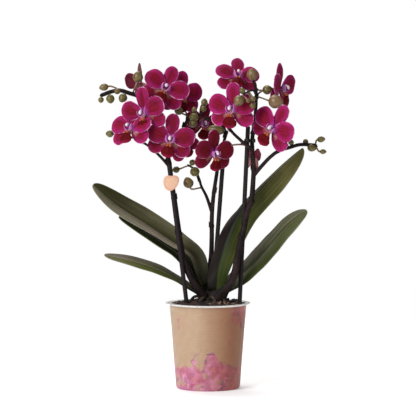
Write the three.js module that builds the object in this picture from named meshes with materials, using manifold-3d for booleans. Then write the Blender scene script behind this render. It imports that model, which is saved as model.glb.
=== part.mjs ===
// A potted moth orchid: a small many-flowered Phalaenopsis in a printed cup.
// Millimetres, +Z up, origin at the centre of the cup's base, +Y away from the front.

import * as THREE from 'three';
import { mergeVertices } from 'three/addons/utils/BufferGeometryUtils.js';
import Module from 'manifold-3d';

const wasm = await Module();
wasm.setup();

// Driving dimensions

const GAP = 0.3;

const CUP_HEIGHT = 90;
const CUP_TOP_RADIUS = 40.7;
const CUP_BASE_RADIUS = 34.1;
const CUP_WALL = 1.2;
const CUP_FLOOR = 2.4;
const CUP_HEEL = 3;
const RIM_BAND = 1.2;
const RIM_STAND_OUT = 0.6;
const ROUND_SIDES = 36;

const LINER_WALL = 0.7;
const FLANGE_RADIUS = 45;
const FLANGE_THICKNESS = 0.8;

const BARK_EDGE_HEIGHT = 89.3;
const BARK_CENTRE_HEIGHT = 92.5;
const BARK_SIDES = 32;
const CHIP_COUNT = 12;
const CHIP_SEED = 7;

const STAKE_RADIUS = 1.9;
const STAKE_SIDES = 8;
const STAKE_DEPTH = 42;

const CROWN_BOTTOM = 72;
const CROWN_TOP = 127;
const CROWN_FLATTENING = 0.82;

const SPIKE_SIDES = 6;
const BRANCH_SIDES = 5;
const STALK_SIDES = 4;
const STALK_RADIUS = 0.95;
const STALK_DROP = 6;
const BUD_STALK_RADIUS = 0.75;

const LEAF_EDGE = 0.8;
const LEAF_MIDDLE = 1.3;
const LEAF_RIB = 2.1;
const LEAF_ARCH = 0.07;

const FLOWER_WIDTH = 48;
const BLADE_THICKNESS = 0.95;

const CLIP_WALL = 1;
const CLIP_HEIGHT = 4;
const TAG_SIZE = 17;
const TAG_THICKNESS = 0.8;

// Materials

function finish(color, roughness, extra = {}) {
  return new THREE.MeshStandardMaterial({ color, roughness, metalness: 0, ...extra });
}

const cupFinish = finish('#b08d6c', 0.5);
const linerFinish = finish('#dfe4e2', 0.15, { transparent: true, opacity: 0.35 });
const barkFinish = finish('#33241b', 0.95);
const crownFinish = finish('#4c6a24', 0.55);
const leafFinish = finish('#45542a', 0.4);
const stemFinish = finish('#3b2a2e', 0.5);
const stakeFinish = finish('#2c2327', 0.6);
const clipFinish = finish('#1f1b1d', 0.4);
const tagFinish = finish('#f3c9a4', 0.6);
const petalFinish = finish('#9c1145', 0.55);
const columnFinish = finish('#f2e3ee', 0.5);

// Small tools

const vec = (x, y, z) => new THREE.Vector3(x, y, z);
const curveThrough = (points) => new THREE.CatmullRomCurve3(points.map((p) => vec(...p)), false, 'centripetal');

// Repeatable random numbers between 0 and 1.
function randomFrom(seed) {
  let state = seed;
  return () => {
    state = (state * 1664525 + 1013904223) % 4294967296;
    return state / 4294967296;
  };
}

function toSolid(geometry) {
  const bare = geometry.clone();
  for (const name of Object.keys(bare.attributes)) {
    if (name !== 'position') bare.deleteAttribute(name);
  }
  const merged = mergeVertices(bare, 1e-4);
  const index = merged.index.array;
  const triangles = [];
  for (let i = 0; i < index.length; i += 3) {
    const [a, b, c] = [index[i], index[i + 1], index[i + 2]];
    if (a !== b && b !== c && c !== a) triangles.push(a, b, c);
  }
  return new wasm.Manifold(new wasm.Mesh({
    numProp: 3,
    vertProperties: new Float32Array(merged.attributes.position.array),
    triVerts: new Uint32Array(triangles),
  }));
}

function toGeometry(solid) {
  const mesh = solid.getMesh();
  const geometry = new THREE.BufferGeometry();
  geometry.setAttribute('position', new THREE.BufferAttribute(new Float32Array(mesh.vertProperties), 3));
  geometry.setIndex(new THREE.BufferAttribute(new Uint32Array(mesh.triVerts), 1));
  return geometry;
}

const join = (solids) => solids.reduce((whole, piece) => whole.add(piece));

// Keeps the largest body of a solid, so that a cut leaves no loose scrap.
function largestBody(solid) {
  return solid.decompose().reduce((best, piece) => (piece.volume() > best.volume() ? piece : best));
}

// A closed skin over rings of equal length, capped at both ends. The second half of each ring is
// split along the other diagonal, so that the two faces of a thin blade have their triangles alike.
function loft(rings) {
  const around = rings[0].length;
  const positions = rings.flat().flatMap((p) => [p.x, p.y, p.z]);
  const triangles = [];
  for (let r = 0; r + 1 < rings.length; r++) {
    for (let i = 0; i < around; i++) {
      const a = r * around + i;
      const b = r * around + ((i + 1) % around);
      if (i < around / 2) triangles.push(a, b, b + around, a, b + around, a + around);
      else triangles.push(a, b, a + around, b, b + around, a + around);
    }
  }
  const last = (rings.length - 1) * around;
  let low = 0;
  let high = around - 1;
  while (high - low > 1) {
    triangles.push(high, low + 1, low, last + low, last + low + 1, last + high);
    low += 1;
    if (high - low > 1) triangles.push(high, high - 1, low, last + low, last + high - 1, last + high);
    high -= 1;
  }
  const geometry = new THREE.BufferGeometry();
  geometry.setAttribute('position', new THREE.Float32BufferAttribute(positions, 3));
  geometry.setIndex(triangles);
  return geometry;
}

// A solid, turned inside out where its faces pointed in.
function loftSolid(rings) {
  const solid = toSolid(loft(rings));
  return solid.volume() > 0 ? solid : toSolid(loft([...rings].reverse()));
}

function turned(profile, sides) {
  const points = profile.map(([r, z]) => new THREE.Vector2(r, z));
  return new THREE.LatheGeometry(points, sides).rotateX(Math.PI / 2);
}

function circleShape(radius, sides) {
  const shape = new THREE.Shape();
  for (let i = 0; i < sides; i++) {
    const angle = (i / sides) * 2 * Math.PI;
    const point = [radius * Math.cos(angle), radius * Math.sin(angle)];
    if (i === 0) shape.moveTo(...point);
    else shape.lineTo(...point);
  }
  shape.closePath();
  return shape;
}

function tube(curve, radius, sides, steps) {
  const settings = { steps, bevelEnabled: false, extrudePath: curve, curveSegments: 1 };
  return toSolid(new THREE.ExtrudeGeometry(circleShape(radius, sides), settings));
}

// A round stem that thins from its root to its end.
function taperedStem(curve, rootRadius, endRadius, sides, steps) {
  const frames = curve.computeFrenetFrames(steps, false);
  const rings = [];
  for (let s = 0; s <= steps; s++) {
    const centre = curve.getPointAt(s / steps);
    const radius = THREE.MathUtils.lerp(rootRadius, endRadius, s / steps);
    const ring = [];
    for (let i = 0; i < sides; i++) {
      const angle = (i / sides) * 2 * Math.PI;
      const point = centre.clone();
      point.addScaledVector(frames.normals[s], radius * Math.cos(angle));
      point.addScaledVector(frames.binormals[s], radius * Math.sin(angle));
      ring.push(point);
    }
    rings.push(ring);
  }
  return loftSolid(rings);
}

// The cup and the clear grow pot hung in it

function makeCup() {
  const rimFoot = CUP_HEIGHT - RIM_BAND;
  const rimRadius = CUP_TOP_RADIUS + RIM_STAND_OUT;
  return turned([
    [0, 0],
    [CUP_BASE_RADIUS - CUP_HEEL, 0],
    [CUP_BASE_RADIUS - CUP_HEEL * 0.3, CUP_HEEL * 0.3],
    [CUP_BASE_RADIUS, CUP_HEEL],
    [CUP_TOP_RADIUS, rimFoot],
    [rimRadius, rimFoot + RIM_STAND_OUT * 0.5],
    [rimRadius, CUP_HEIGHT],
    [CUP_TOP_RADIUS - CUP_WALL, CUP_HEIGHT],
    [CUP_BASE_RADIUS - CUP_WALL, CUP_FLOOR],
    [0, CUP_FLOOR],
  ], ROUND_SIDES);
}

const cupBore = (z) => {
  const along = (z - CUP_FLOOR) / (CUP_HEIGHT - CUP_FLOOR);
  return THREE.MathUtils.lerp(CUP_BASE_RADIUS, CUP_TOP_RADIUS, along) - CUP_WALL;
};

const LINER_FOOT = CUP_FLOOR + GAP;
const FLANGE_FOOT = CUP_HEIGHT + GAP;
const FLANGE_TOP = FLANGE_FOOT + FLANGE_THICKNESS;
const linerBore = (z) => cupBore(z) - GAP - LINER_WALL;

function makeGrowPot() {
  return turned([
    [0, LINER_FOOT],
    [cupBore(LINER_FOOT) - GAP, LINER_FOOT],
    [cupBore(FLANGE_FOOT) - GAP, FLANGE_FOOT],
    [FLANGE_RADIUS, FLANGE_FOOT],
    [FLANGE_RADIUS, FLANGE_TOP],
    [linerBore(FLANGE_TOP), FLANGE_TOP],
    [linerBore(LINER_FOOT + LINER_WALL), LINER_FOOT + LINER_WALL],
    [0, LINER_FOOT + LINER_WALL],
  ], ROUND_SIDES);
}

// The support stakes, each named by where it leaves the bark and where it ends

const STAKES = {
  left: { foot: [-24.2, -14, 92], tip: [-41, -12.5, 238] },
  middle: { foot: [5, 28, 92], tip: [17.5, 6, 262] },
  right: { foot: [33.6, -5, 92], tip: [42.3, -6, 279] },
};

function stakeLine({ foot, tip }) {
  const bottom = vec(...foot).lerp(vec(...tip), -STAKE_DEPTH / (tip[2] - foot[2]));
  return new THREE.LineCurve3(bottom, vec(...tip));
}

const makeStake = (stake) => tube(stakeLine(stake), STAKE_RADIUS, STAKE_SIDES, 1);
const makeStakeHole = (stake) => tube(stakeLine(stake), STAKE_RADIUS + GAP, STAKE_SIDES, 1);

// The crown: a short stem of leaf bases, and the aerial roots round its foot

const ROOTS = [
  [[2, -6, 97], [5, -13, 97.5], [8, -18, 92], [9, -20, 84]],
  [[-3, -6, 96], [-6, -12, 96.5], [-10, -16, 91], [-11, -17, 84]],
  [[6, -4, 98], [13, -9, 98], [19, -13, 92], [21, -14, 84]],
  [[-6, 0, 97], [-14, -2, 97.5], [-19, -3, 92], [-21, -3, 84]],
];
const ROOT_RADIUS = 1.9;

function makeCrown(grown) {
  const profile = [
    [0, CROWN_BOTTOM - grown],
    [5 + grown, CROWN_BOTTOM - grown],
    [8.5 + grown, 86],
    [9.8 + grown, 97],
    [8.6 + grown, 107],
    [6.3 + grown, 117],
    [3.6 + grown, CROWN_TOP - 3],
    [0, CROWN_TOP + grown],
  ];
  const body = turned(profile, 12).scale(1, CROWN_FLATTENING, 1);
  const roots = ROOTS.map((points) => tube(curveThrough(points), ROOT_RADIUS + grown, 5, 4));
  return join([toSolid(body), ...roots]);
}

// The bark mix: a low heap with chips on it, and plain holes for what stands in it

function makeBarkMix() {
  const foot = LINER_FOOT + LINER_WALL + GAP;
  const heap = toSolid(turned([
    [0, foot],
    [linerBore(foot) - GAP * 1.3, foot],
    [linerBore(BARK_EDGE_HEIGHT) - GAP * 1.3, BARK_EDGE_HEIGHT],
    [30, 91.4],
    [18, BARK_CENTRE_HEIGHT],
    [0, BARK_CENTRE_HEIGHT],
  ], BARK_SIDES));
  const random = randomFrom(CHIP_SEED);
  const chips = [];
  for (let i = 0; i < CHIP_COUNT; i++) {
    const size = 6 + 5 * random();
    const reach = 4 + 28 * Math.sqrt(random());
    const angle = i * 2.4 + random();
    const chip = new THREE.BoxGeometry(size, size * (0.5 + 0.3 * random()), 3 + 2 * random());
    chip.rotateX(0.5 * (random() - 0.5));
    chip.rotateY(0.7 * (random() - 0.5));
    chip.rotateZ(Math.PI * random());
    chip.translate(reach * Math.cos(angle), reach * Math.sin(angle), 91.2 + 1.6 * random());
    chips.push(toSolid(chip));
  }
  const holes = [...Object.values(STAKES).map(makeStakeHole), makeCrown(GAP)];
  return largestBody(join([heap, ...chips]).subtract(join(holes)));
}

// The leaves
// A rib runs through the points; the far and near halves of the blade leave it at angles above the
// level, in degrees, given at the root, the middle and the tip. base: width at the root, as a share.

const LEAVES = [
  {
    rib: [
      [-6, 3, 111], [-16.5, 9, 138], [-36.5, 12.5, 154.5], [-61, 16, 173], [-99, 21, 197], [-123, 22, 215.5],
    ],
    width: 31, base: 0.3, far: [50, 60, 62], near: [20, -30, -48],
  },
  {
    rib: [[-4, 2, 98], [-14, 5, 119], [-31, 8, 141], [-46, 10, 152], [-64, 12, 163.5], [-95, 15, 182]],
    width: 28, base: 0.3, far: [30, 22, 20], near: [-5, -15, -18],
  },
  {
    rib: [[-4, 0, 95], [-13, 0, 103.5], [-28, -1, 115], [-46, -5, 126], [-72, -10, 136], [-109, -15, 144]],
    width: 26, base: 0.3, far: [30, 24, 20], near: [-10, -22, -25],
  },
  {
    rib: [
      [5, -3, 106], [9, -2, 127], [19, 0, 155], [34, 6, 186], [58, 16, 211], [82, 24, 235], [99.5, 29, 253],
    ],
    width: 42, base: 0.46, far: [55, -12, -5], near: [-62, -84, -55],
  },
  {
    rib: [
      [5, 0, 97], [20, 5, 108], [37, 9, 121], [52, 8, 135.5],
      [67, 5, 153], [83, 1, 172.5], [95, -1, 183], [105, -2, 189],
    ],
    width: 34, base: 0.3, far: [25, 42, 36], near: [-28, -43, -52],
  },
];
const LEAF_STATIONS = [0, 0.1, 0.22, 0.35, 0.5, 0.64, 0.77, 0.88, 0.96, 0.995];

// How wide the blade is along the rib, as a share of its width.
function leafSpread(base, t) {
  const widest = 0.52;
  if (t < widest) return base + (1 - base) * Math.sin((Math.PI / 2) * (t / widest));
  return Math.sqrt(1 - ((t - widest) / (1 - widest)) ** 2.4);
}

function threeWay([root, middle, tip], t) {
  return t < 0.5 ? THREE.MathUtils.lerp(root, middle, t * 2) : THREE.MathUtils.lerp(middle, tip, t * 2 - 1);
}

// One cross-section: five points on top from the far margin to the near one, and five below them.
function leafSection(leaf, curve, t) {
  const centre = curve.getPointAt(t);
  const along = curve.getTangentAt(t);
  const side = along.clone().cross(vec(0, 0, 1)).normalize();
  if (side.y < 0) side.negate();
  const up = side.clone().cross(along).normalize();
  if (up.z < 0) up.negate();
  const half = (leaf.width / 2) * leafSpread(leaf.base, t);
  const farAngle = THREE.MathUtils.degToRad(threeWay(leaf.far, t));
  const nearAngle = THREE.MathUtils.degToRad(threeWay(leaf.near, t));
  const far = side.clone().multiplyScalar(Math.cos(farAngle)).addScaledVector(up, Math.sin(farAngle));
  const near = side.clone().multiplyScalar(-Math.cos(nearAngle)).addScaledVector(up, Math.sin(nearAngle));
  const normal = far.clone().sub(near).cross(along).normalize();
  if (normal.dot(up) < 0) normal.negate();
  const spots = [
    [far, 1, LEAF_EDGE],
    [far, 0.5, LEAF_MIDDLE],
    [far, 0, LEAF_RIB],
    [near, 0.5, LEAF_MIDDLE],
    [near, 1, LEAF_EDGE],
  ];
  const top = spots.map(([direction, share]) => centre.clone()
    .addScaledVector(direction, half * share)
    .addScaledVector(normal, share === 0.5 ? half * LEAF_ARCH : 0));
  const bottom = spots.map(([, , thickness], i) => top[i].clone().addScaledVector(normal, -thickness));
  return [...top, ...bottom.reverse()];
}

function makeLeaf(leaf) {
  const curve = curveThrough(leaf.rib);
  const rings = LEAF_STATIONS.map((t) => leafSection(leaf, curve, t));
  return largestBody(loftSolid(rings).subtract(makeCrown(GAP)));
}

// The flowers
// at: the heart of the flower; yaw turns it to the right, pitch up, roll clockwise, all in degrees
// as seen from the front; cup closes its petals forward; drop: how far below it its stalk starts.

const FLOWERS = {
  left: [
    { at: [-74, 8, 324], width: 41, yaw: -82, pitch: 0, roll: 0, cup: 30 },
    { at: [-45, -16, 318.5], width: 49, yaw: 15, pitch: 20, roll: 17, cup: 0 },
    { at: [-29, 5, 311], width: 46, yaw: 20, pitch: 0, roll: 5, cup: 0 },
    { at: [-66.8, -28, 293], width: 48, yaw: -30, pitch: -6, roll: -8, cup: 0 },
    { at: [-80.4, -37, 276.5], width: 46, yaw: -35, pitch: 0, roll: 0, cup: 0 },
    { at: [-39.2, -37, 265.5], width: 48, yaw: -5, pitch: 0, roll: 9, cup: 0 },
    { at: [-27.3, -15, 259], width: 36, yaw: 5, pitch: -10, roll: -40, cup: 0 },
  ],
  middle: [
    { at: [-5.5, 25, 280], width: 42, yaw: 25, pitch: 0, roll: 10, cup: 0, drop: 10 },
  ],
  right: [
    { at: [6, -22, 250], width: 44, yaw: 30, pitch: -5, roll: -8, cup: 0 },
    { at: [25.2, -30, 296.5], width: 50, yaw: -20, pitch: 0, roll: 2, cup: 0 },
    { at: [31, 0, 330.5], width: 46, yaw: 10, pitch: 38, roll: 8, cup: 0, drop: 22 },
    { at: [76.7, 3, 317.5], width: 46, yaw: 62, pitch: 0, roll: 0, cup: 8 },
    { at: [68, -29, 276.5], width: 50, yaw: -30, pitch: 0, roll: 33, cup: 0 },
    { at: [46.5, 20, 252], width: 38, yaw: 106, pitch: 0, roll: 0, cup: 0 },
  ],
};

const HUB_BACK = 4.5;
const HUB_FRONT = -1.6;
const HUB_RADIUS = 3;
const BLADE_ROOT = 1.7;
const SEPAL_LAYER = 1.5;
const PETAL_LAYER = -0.6;
const SEPAL_BOW = 0.7;
const PETAL_BOW = 1.7;

// Outlines of the blades: how far along, and how wide as a share of the width.
const SEPAL_OUTLINE = [[0, 0.3], [0.3, 0.72], [0.62, 1], [0.88, 0.72], [1, 0.26]];
const PETAL_OUTLINE = [[0, 0.14], [0.26, 0.72], [0.56, 1], [0.84, 0.8], [1, 0.3]];
const LIP_OUTLINE = [[0, 0.3], [0.35, 0.4], [0.72, 1], [1, 0.25]];

const SEPAL = { layer: SEPAL_LAYER, bow: SEPAL_BOW, closes: 0.15, outline: SEPAL_OUTLINE };
const PETAL = { layer: PETAL_LAYER, bow: PETAL_BOW, closes: 1, outline: PETAL_OUTLINE };
const BLADES = [
  { ...SEPAL, angle: 90, length: 27, width: 14.5 },
  { ...SEPAL, angle: -33, length: 25, width: 16.5 },
  { ...SEPAL, angle: 213, length: 25, width: 16.5 },
  { ...PETAL, angle: 18, length: 25.5, width: 20.5 },
  { ...PETAL, angle: 162, length: 25.5, width: 20.5 },
];

// One sepal or petal: it leaves the heart, bows forward a little and turns its edges back. In a
// flower that is still opening the petals stand further forward than the sepals.
function makeBlade({ angle, length, width, layer, bow, closes, outline }, cup) {
  const turn = THREE.MathUtils.degToRad(angle);
  const close = THREE.MathUtils.degToRad(cup * closes);
  const across = vec(-Math.sin(turn), 0, Math.cos(turn));
  const reach = vec(Math.cos(turn) * Math.cos(close), -Math.sin(close), Math.sin(turn) * Math.cos(close));
  const front = reach.clone().cross(across).normalize();
  if (front.y > 0) front.negate();
  const rings = outline.map(([t, share]) => {
    const centre = vec(0, layer, 0).addScaledVector(reach, BLADE_ROOT + (length - BLADE_ROOT) * t);
    centre.addScaledVector(front, bow * Math.sin(Math.PI * t * 0.8));
    const half = (width / 2) * share;
    const top = [-1, 0, 1].map((s) => centre.clone()
      .addScaledVector(across, s * half)
      .addScaledVector(front, s === 0 ? BLADE_THICKNESS / 2 : BLADE_THICKNESS / 2 - half * 0.1));
    const bottom = top.map((p) => p.clone().addScaledVector(front, -BLADE_THICKNESS));
    return [...top, ...bottom.reverse()];
  });
  return loftSolid(rings);
}

// The lip: a middle lobe that hangs forward and two small lobes that stand beside the column.
function makeLip() {
  const path = curveThrough([[0, -1, -0.5], [0, -5, -3], [0, -8, -8.5], [0, -7.5, -17.5]]);
  const rings = LIP_OUTLINE.map(([t, share]) => {
    const centre = path.getPointAt(t);
    const along = path.getTangentAt(t);
    const front = vec(1, 0, 0).cross(along).normalize();
    const half = 7 * share;
    const top = [-1, 0, 1].map((s) => centre.clone()
      .add(vec(s * half, 0, 0))
      .addScaledVector(front, s === 0 ? -0.5 : 0));
    const bottom = top.map((p) => p.clone().addScaledVector(front, BLADE_THICKNESS));
    return [...top, ...bottom.reverse()];
  });
  const lobes = [-1, 1].map((s) => {
    const stations = [[0.2, -4.4, -4, 1], [3.4, -6, -1.6, 2], [4.4, -6.4, 2.4, 1.3]];
    return loftSolid(stations.map(([x, y, z, half]) => [
      vec(s * x, y - half, z),
      vec(s * (x + BLADE_THICKNESS), y - half, z),
      vec(s * (x + BLADE_THICKNESS), y + half, z),
      vec(s * x, y + half, z),
    ]));
  });
  return join([loftSolid(rings), ...lobes]);
}

function makeHub() {
  const cone = new THREE.CylinderGeometry(HUB_RADIUS, 1.2, HUB_BACK - HUB_FRONT, 6);
  cone.rotateX(Math.PI);
  cone.translate(0, (HUB_BACK + HUB_FRONT) / 2, 0);
  return toSolid(cone);
}

// A flower that is still closed hides its lip and column.
const CLOSED_CUP = 20;
const isOpen = (flower) => flower.cup < CLOSED_CUP;

function makeFlower(flower) {
  const scale = flower.width / FLOWER_WIDTH;
  const pieces = [makeHub(), ...BLADES.map((blade) => makeBlade(blade, flower.cup))];
  if (isOpen(flower)) pieces.push(makeLip());
  return join(pieces).scale([scale, scale, scale]);
}

// The column: a short arched rod with a round white tip, in front of the heart.
function makeColumn({ width }) {
  const scale = width / FLOWER_WIDTH;
  const front = HUB_FRONT - GAP / scale;
  const stations = [[front, 0.6, 1.4], [-5, 1.4, 1.4], [-8, 1.5, 2], [-9.8, 0.8, 1.1]];
  const rings = stations.map(([y, z, radius]) => {
    const ring = [];
    for (let i = 0; i < 6; i++) {
      const angle = (i / 6) * 2 * Math.PI;
      ring.push(vec(radius * Math.cos(angle), y, z + radius * Math.sin(angle)));
    }
    return ring;
  });
  return loftSolid(rings).scale([scale, scale, scale]);
}

function place(object, { at, yaw, pitch, roll }) {
  const rad = THREE.MathUtils.degToRad;
  object.position.set(...at);
  object.rotation.set(-rad(pitch), rad(roll), rad(yaw), 'ZXY');
  object.updateMatrix();
  return object;
}

// The flower spikes
// stems: points and radii at the root and the end; the first stem of a spray rises from the crown.
// buds: place and diameter. Each stalk leaves its stem at the nearest spot below its bud or flower.

const SPRAYS = {
  left: {
    stems: [
      {
        points: [
          [-2, -3, 97], [-10, -7, 105], [-16, -9, 114], [-21, -9, 124], [-25.5, -8.5, 135], [-29, -7.5, 150],
          [-33, -7, 174], [-36, -7, 196], [-38.5, -6.8, 219], [-41, -6, 238], [-45, -5, 258], [-52, -5, 281],
          [-61, -8, 299], [-73, -13, 309], [-87, -14, 312], [-109, -12, 312],
        ],
        root: 3, end: 1.2, steps: 17,
      },
      {
        points: [[-41, -6, 236], [-50, -8, 246], [-62, -10, 257], [-78, -12, 266], [-98, -14, 270]],
        root: 1.5, end: 1, steps: 5,
      },
      {
        points: [
          [-43, -6, 250], [-36, 4, 260], [-28, 11, 270], [-20, 13, 280], [-12, 9, 288], [-8, 2, 296], [-4, -3, 301],
        ],
        root: 1.5, end: 1, steps: 7,
      },
    ],
    buds: [
      [-109, -14, 319, 8.5], [-111, -14, 305.5, 6], [-101, -16, 307, 8.5], [-88.5, -18, 308, 9],
      [-95, -12, 316, 5.5], [-73, -20, 329.5, 10.5], [-30, -8, 295.5, 8], [-103.5, -14, 270.5, 7],
      [-4, -6, 304.5, 6.5], [-4.6, -11, 297.6, 6], [-14, -10, 296.5, 6.5], [-15, -13, 288.7, 9.5],
      [-13, -12, 281.5, 7.5],
    ],
  },
  middle: {
    stems: [
      {
        points: [
          [0, 4, 100], [1, 12, 110], [2, 19, 124], [3.5, 21, 140], [4, 20, 158], [4.2, 17, 183], [6, 14, 205],
          [8.6, 10, 223], [11, 5, 238], [14.5, 1, 252], [18, -2, 266], [20, -4, 272],
        ],
        root: 2.4, end: 1.3, steps: 11,
      },
      {
        points: [
          [4, 16.5, 187], [-2, 12, 204], [-7, 8, 214], [-9.4, 5, 222], [-13.5, 3, 231.7], [-18.5, 2, 235.5],
        ],
        root: 1.4, end: 0.9, steps: 7,
      },
    ],
    buds: [
      [7.5, -12, 275.5, 10], [-21, 0, 218.5, 11], [-14.5, -4, 230.5, 9], [-16.5, -2, 240, 6.5],
      [-34, 4, 232, 6.5],
    ],
  },
  right: {
    stems: [
      {
        points: [
          [4, -5, 98], [16, -10, 103], [24, -13, 111.5], [27.5, -13.5, 121], [29.8, -13, 132], [33.5, -13, 152],
          [38, -12, 171], [41.5, -9, 188], [45.8, -5, 200], [47.8, -3, 221], [48.3, -2, 232], [47.3, -3, 248],
          [46.7, -4, 262], [48, -6, 276], [49.7, -8, 290], [50.7, -11, 304], [50.3, -14, 318], [47.5, -16, 327],
        ],
        root: 3.4, end: 1.2, steps: 18,
      },
      {
        points: [
          [48, -2, 226], [57, -4, 236.5], [66, -6, 246], [75, -8, 252.5], [86, -10, 256], [97, -10, 259],
          [112, -10, 260],
        ],
        root: 1.9, end: 1, steps: 7,
      },
      {
        points: [[47, -4, 251], [46, -10, 254], [41, -13, 258], [33, -13, 265], [24, -13, 274], [19, -13, 283]],
        root: 1.9, end: 1.4, steps: 6,
      },
      {
        points: [[50.4, -13, 312], [47.5, -25, 316], [43, -37, 316], [37, -43, 312]],
        root: 1.1, end: 0.8, steps: 4,
      },
    ],
    buds: [
      [46, -19, 333, 10.5], [62.5, -12, 317, 9.5], [71.5, -24, 305, 13], [35.5, -43, 316, 6.5],
      [31.5, -45, 306, 9.5], [47.5, -20, 310, 5.5], [47, -20, 300, 6], [41.5, -46, 305.5, 4.5],
      [46.5, -12, 281, 4.5], [87.5, -9, 261.5, 6], [103, -7, 262, 6], [109.5, -12, 255.5, 8],
      [119, -7, 264.5, 7], [122, -9, 251.5, 6],
    ],
  },
};

const SPOTS = 60;
const FIRST_SPOT = 4;

function nearestSpot(curves, target) {
  let best = null;
  for (const curve of curves) {
    for (let i = FIRST_SPOT; i <= SPOTS; i++) {
      const spot = curve.getPointAt(i / SPOTS);
      const distance = spot.distanceTo(target);
      if (best === null || distance < best.distance) {
        best = { spot, distance, along: curve.getTangentAt(i / SPOTS) };
      }
    }
  }
  return best;
}

function makeStalk(from, along, to, arrive, radius, steps) {
  const span = from.distanceTo(to);
  const curve = new THREE.CubicBezierCurve3(
    from,
    from.clone().addScaledVector(along, span * 0.3),
    to.clone().addScaledVector(arrive, -span * 0.35),
    to,
  );
  return tube(curve, radius, STALK_SIDES, steps);
}

function makeBud(centre, direction, diameter) {
  const bud = new THREE.SphereGeometry(diameter / 2, 6, 4);
  bud.scale(1, 1.12, 1);
  const turn = new THREE.Quaternion().setFromUnitVectors(vec(0, 1, 0), direction);
  bud.applyQuaternion(turn);
  bud.translate(centre.x, centre.y, centre.z);
  return toSolid(bud);
}

function makeSpray({ stems, buds }, flowers) {
  const curves = stems.map(({ points }) => curveThrough(points));
  const pieces = stems.map(({ root, end, steps }, i) => {
    const sides = i === 0 ? SPIKE_SIDES : BRANCH_SIDES;
    return taperedStem(curves[i], root, end, sides, steps);
  });
  for (const flower of flowers) {
    const holder = place(new THREE.Object3D(), flower);
    const scale = flower.width / FLOWER_WIDTH;
    const end = vec(0, HUB_BACK * scale + GAP, 0).applyMatrix4(holder.matrix);
    const arrive = vec(0, -1, 0).transformDirection(holder.matrix);
    const below = vec(0, 0, -(flower.drop ?? STALK_DROP));
    const root = nearestSpot(curves, end.clone().addScaledVector(arrive, -10).add(below));
    pieces.push(makeStalk(root.spot, root.along, end, arrive, STALK_RADIUS, 4));
  }
  for (const [x, y, z, diameter] of buds) {
    const centre = vec(x, y, z);
    const root = nearestSpot(curves, centre);
    const direction = centre.clone().sub(root.spot).normalize();
    pieces.push(makeStalk(root.spot, root.along, centre, direction, BUD_STALK_RADIUS, 2));
    pieces.push(makeBud(centre, direction, diameter));
  }
  return largestBody(join(pieces).subtract(makeCrown(GAP)));
}

// The clips: a flat oval loop round a stake and the spike beside it

const CLIPS = {
  left: { z: 221, spike: [-38.8, -6.7], bore: 2.9 },
  middle: { z: 250, spike: [14, 1.6], bore: 2.4 },
  right: { z: 263, spike: [46.8, -4.1], bore: 2.4 },
};

function makeClip(stake, { z, spike, bore }) {
  const [foot, tip] = [stake.foot, stake.tip];
  const at = vec(...foot).lerp(vec(...tip), (z - foot[2]) / (tip[2] - foot[2]));
  const reach = vec(spike[0] - at.x, spike[1] - at.y, 0);
  const oval = (radius) => {
    const path = new THREE.Path();
    path.absarc(0, 0, radius, Math.PI / 2, Math.PI * 1.5);
    path.absarc(reach.length(), 0, radius, -Math.PI / 2, Math.PI / 2);
    path.closePath();
    return path.getPoints(3);
  };
  const shape = new THREE.Shape(oval(bore + CLIP_WALL));
  shape.holes.push(new THREE.Path(oval(bore)));
  const clip = new THREE.ExtrudeGeometry(shape, { depth: CLIP_HEIGHT, bevelEnabled: false });
  clip.rotateZ(Math.atan2(reach.y, reach.x));
  clip.translate(at.x, at.y, z - CLIP_HEIGHT / 2);
  return toSolid(clip);
}

// The tag: a bare heart-shaped leaf of card in front of the left stake

function makeTag() {
  const half = TAG_SIZE / 2;
  const shape = new THREE.Shape();
  shape.moveTo(-half * 0.1, -half);
  shape.bezierCurveTo(half * 0.5, -half * 0.9, half, -half * 0.1, half * 0.95, half * 0.5);
  shape.bezierCurveTo(half * 0.8, half * 1.05, half * 0.2, half * 0.95, 0, half * 0.85);
  shape.bezierCurveTo(-half * 0.5, half * 1.05, -half, half * 0.8, -half, half * 0.1);
  shape.bezierCurveTo(-half * 0.95, -half * 0.5, -half * 0.7, -half, -half * 0.1, -half);
  const tag = new THREE.ExtrudeGeometry(shape, { depth: TAG_THICKNESS, bevelEnabled: false, curveSegments: 5 });
  return toSolid(tag.rotateX(Math.PI / 2));
}

// The whole plant in its pot

const orchid = new THREE.Group();

function add(name, shape, material) {
  const geometry = shape instanceof THREE.BufferGeometry ? shape : toGeometry(shape);
  const mesh = new THREE.Mesh(geometry, material);
  mesh.name = name;
  orchid.add(mesh);
  return mesh;
}

add('cup', toSolid(makeCup()), cupFinish);
add('grow_pot', toSolid(makeGrowPot()), linerFinish);
add('bark_mix', makeBarkMix(), barkFinish);
add('crown', makeCrown(0), crownFinish);

LEAVES.forEach((leaf, i) => add(`leaf_${i + 1}`, makeLeaf(leaf), leafFinish));

for (const [side, stake] of Object.entries(STAKES)) add(`stake_${side}`, makeStake(stake), stakeFinish);

for (const [side, clip] of Object.entries(CLIPS)) add(`clip_${side}`, makeClip(STAKES[side], clip), clipFinish);

let flowerNumber = 0;
for (const [side, spray] of Object.entries(SPRAYS)) {
  add(`spray_${side}`, makeSpray(spray, FLOWERS[side]), stemFinish);
  for (const flower of FLOWERS[side]) {
    flowerNumber += 1;
    const name = `flower_${String(flowerNumber).padStart(2, '0')}`;
    place(add(name, makeFlower(flower), petalFinish), flower);
    if (isOpen(flower)) place(add(`${name}_column`, makeColumn(flower), columnFinish), flower);
  }
}

const TAG_PLACE = [-38.5, -17, 219];
add('tag', makeTag(), tagFinish).position.set(...TAG_PLACE);

export default orchid;
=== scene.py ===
# A potted moth orchid: a small many-flowered Phalaenopsis in a printed cup, with its stakes and clips.
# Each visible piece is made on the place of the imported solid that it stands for. Shapes are worked out
# in millimetres and written to the meshes in metres. +Z is up and -Y looks at the viewer.

import math
import random

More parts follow.
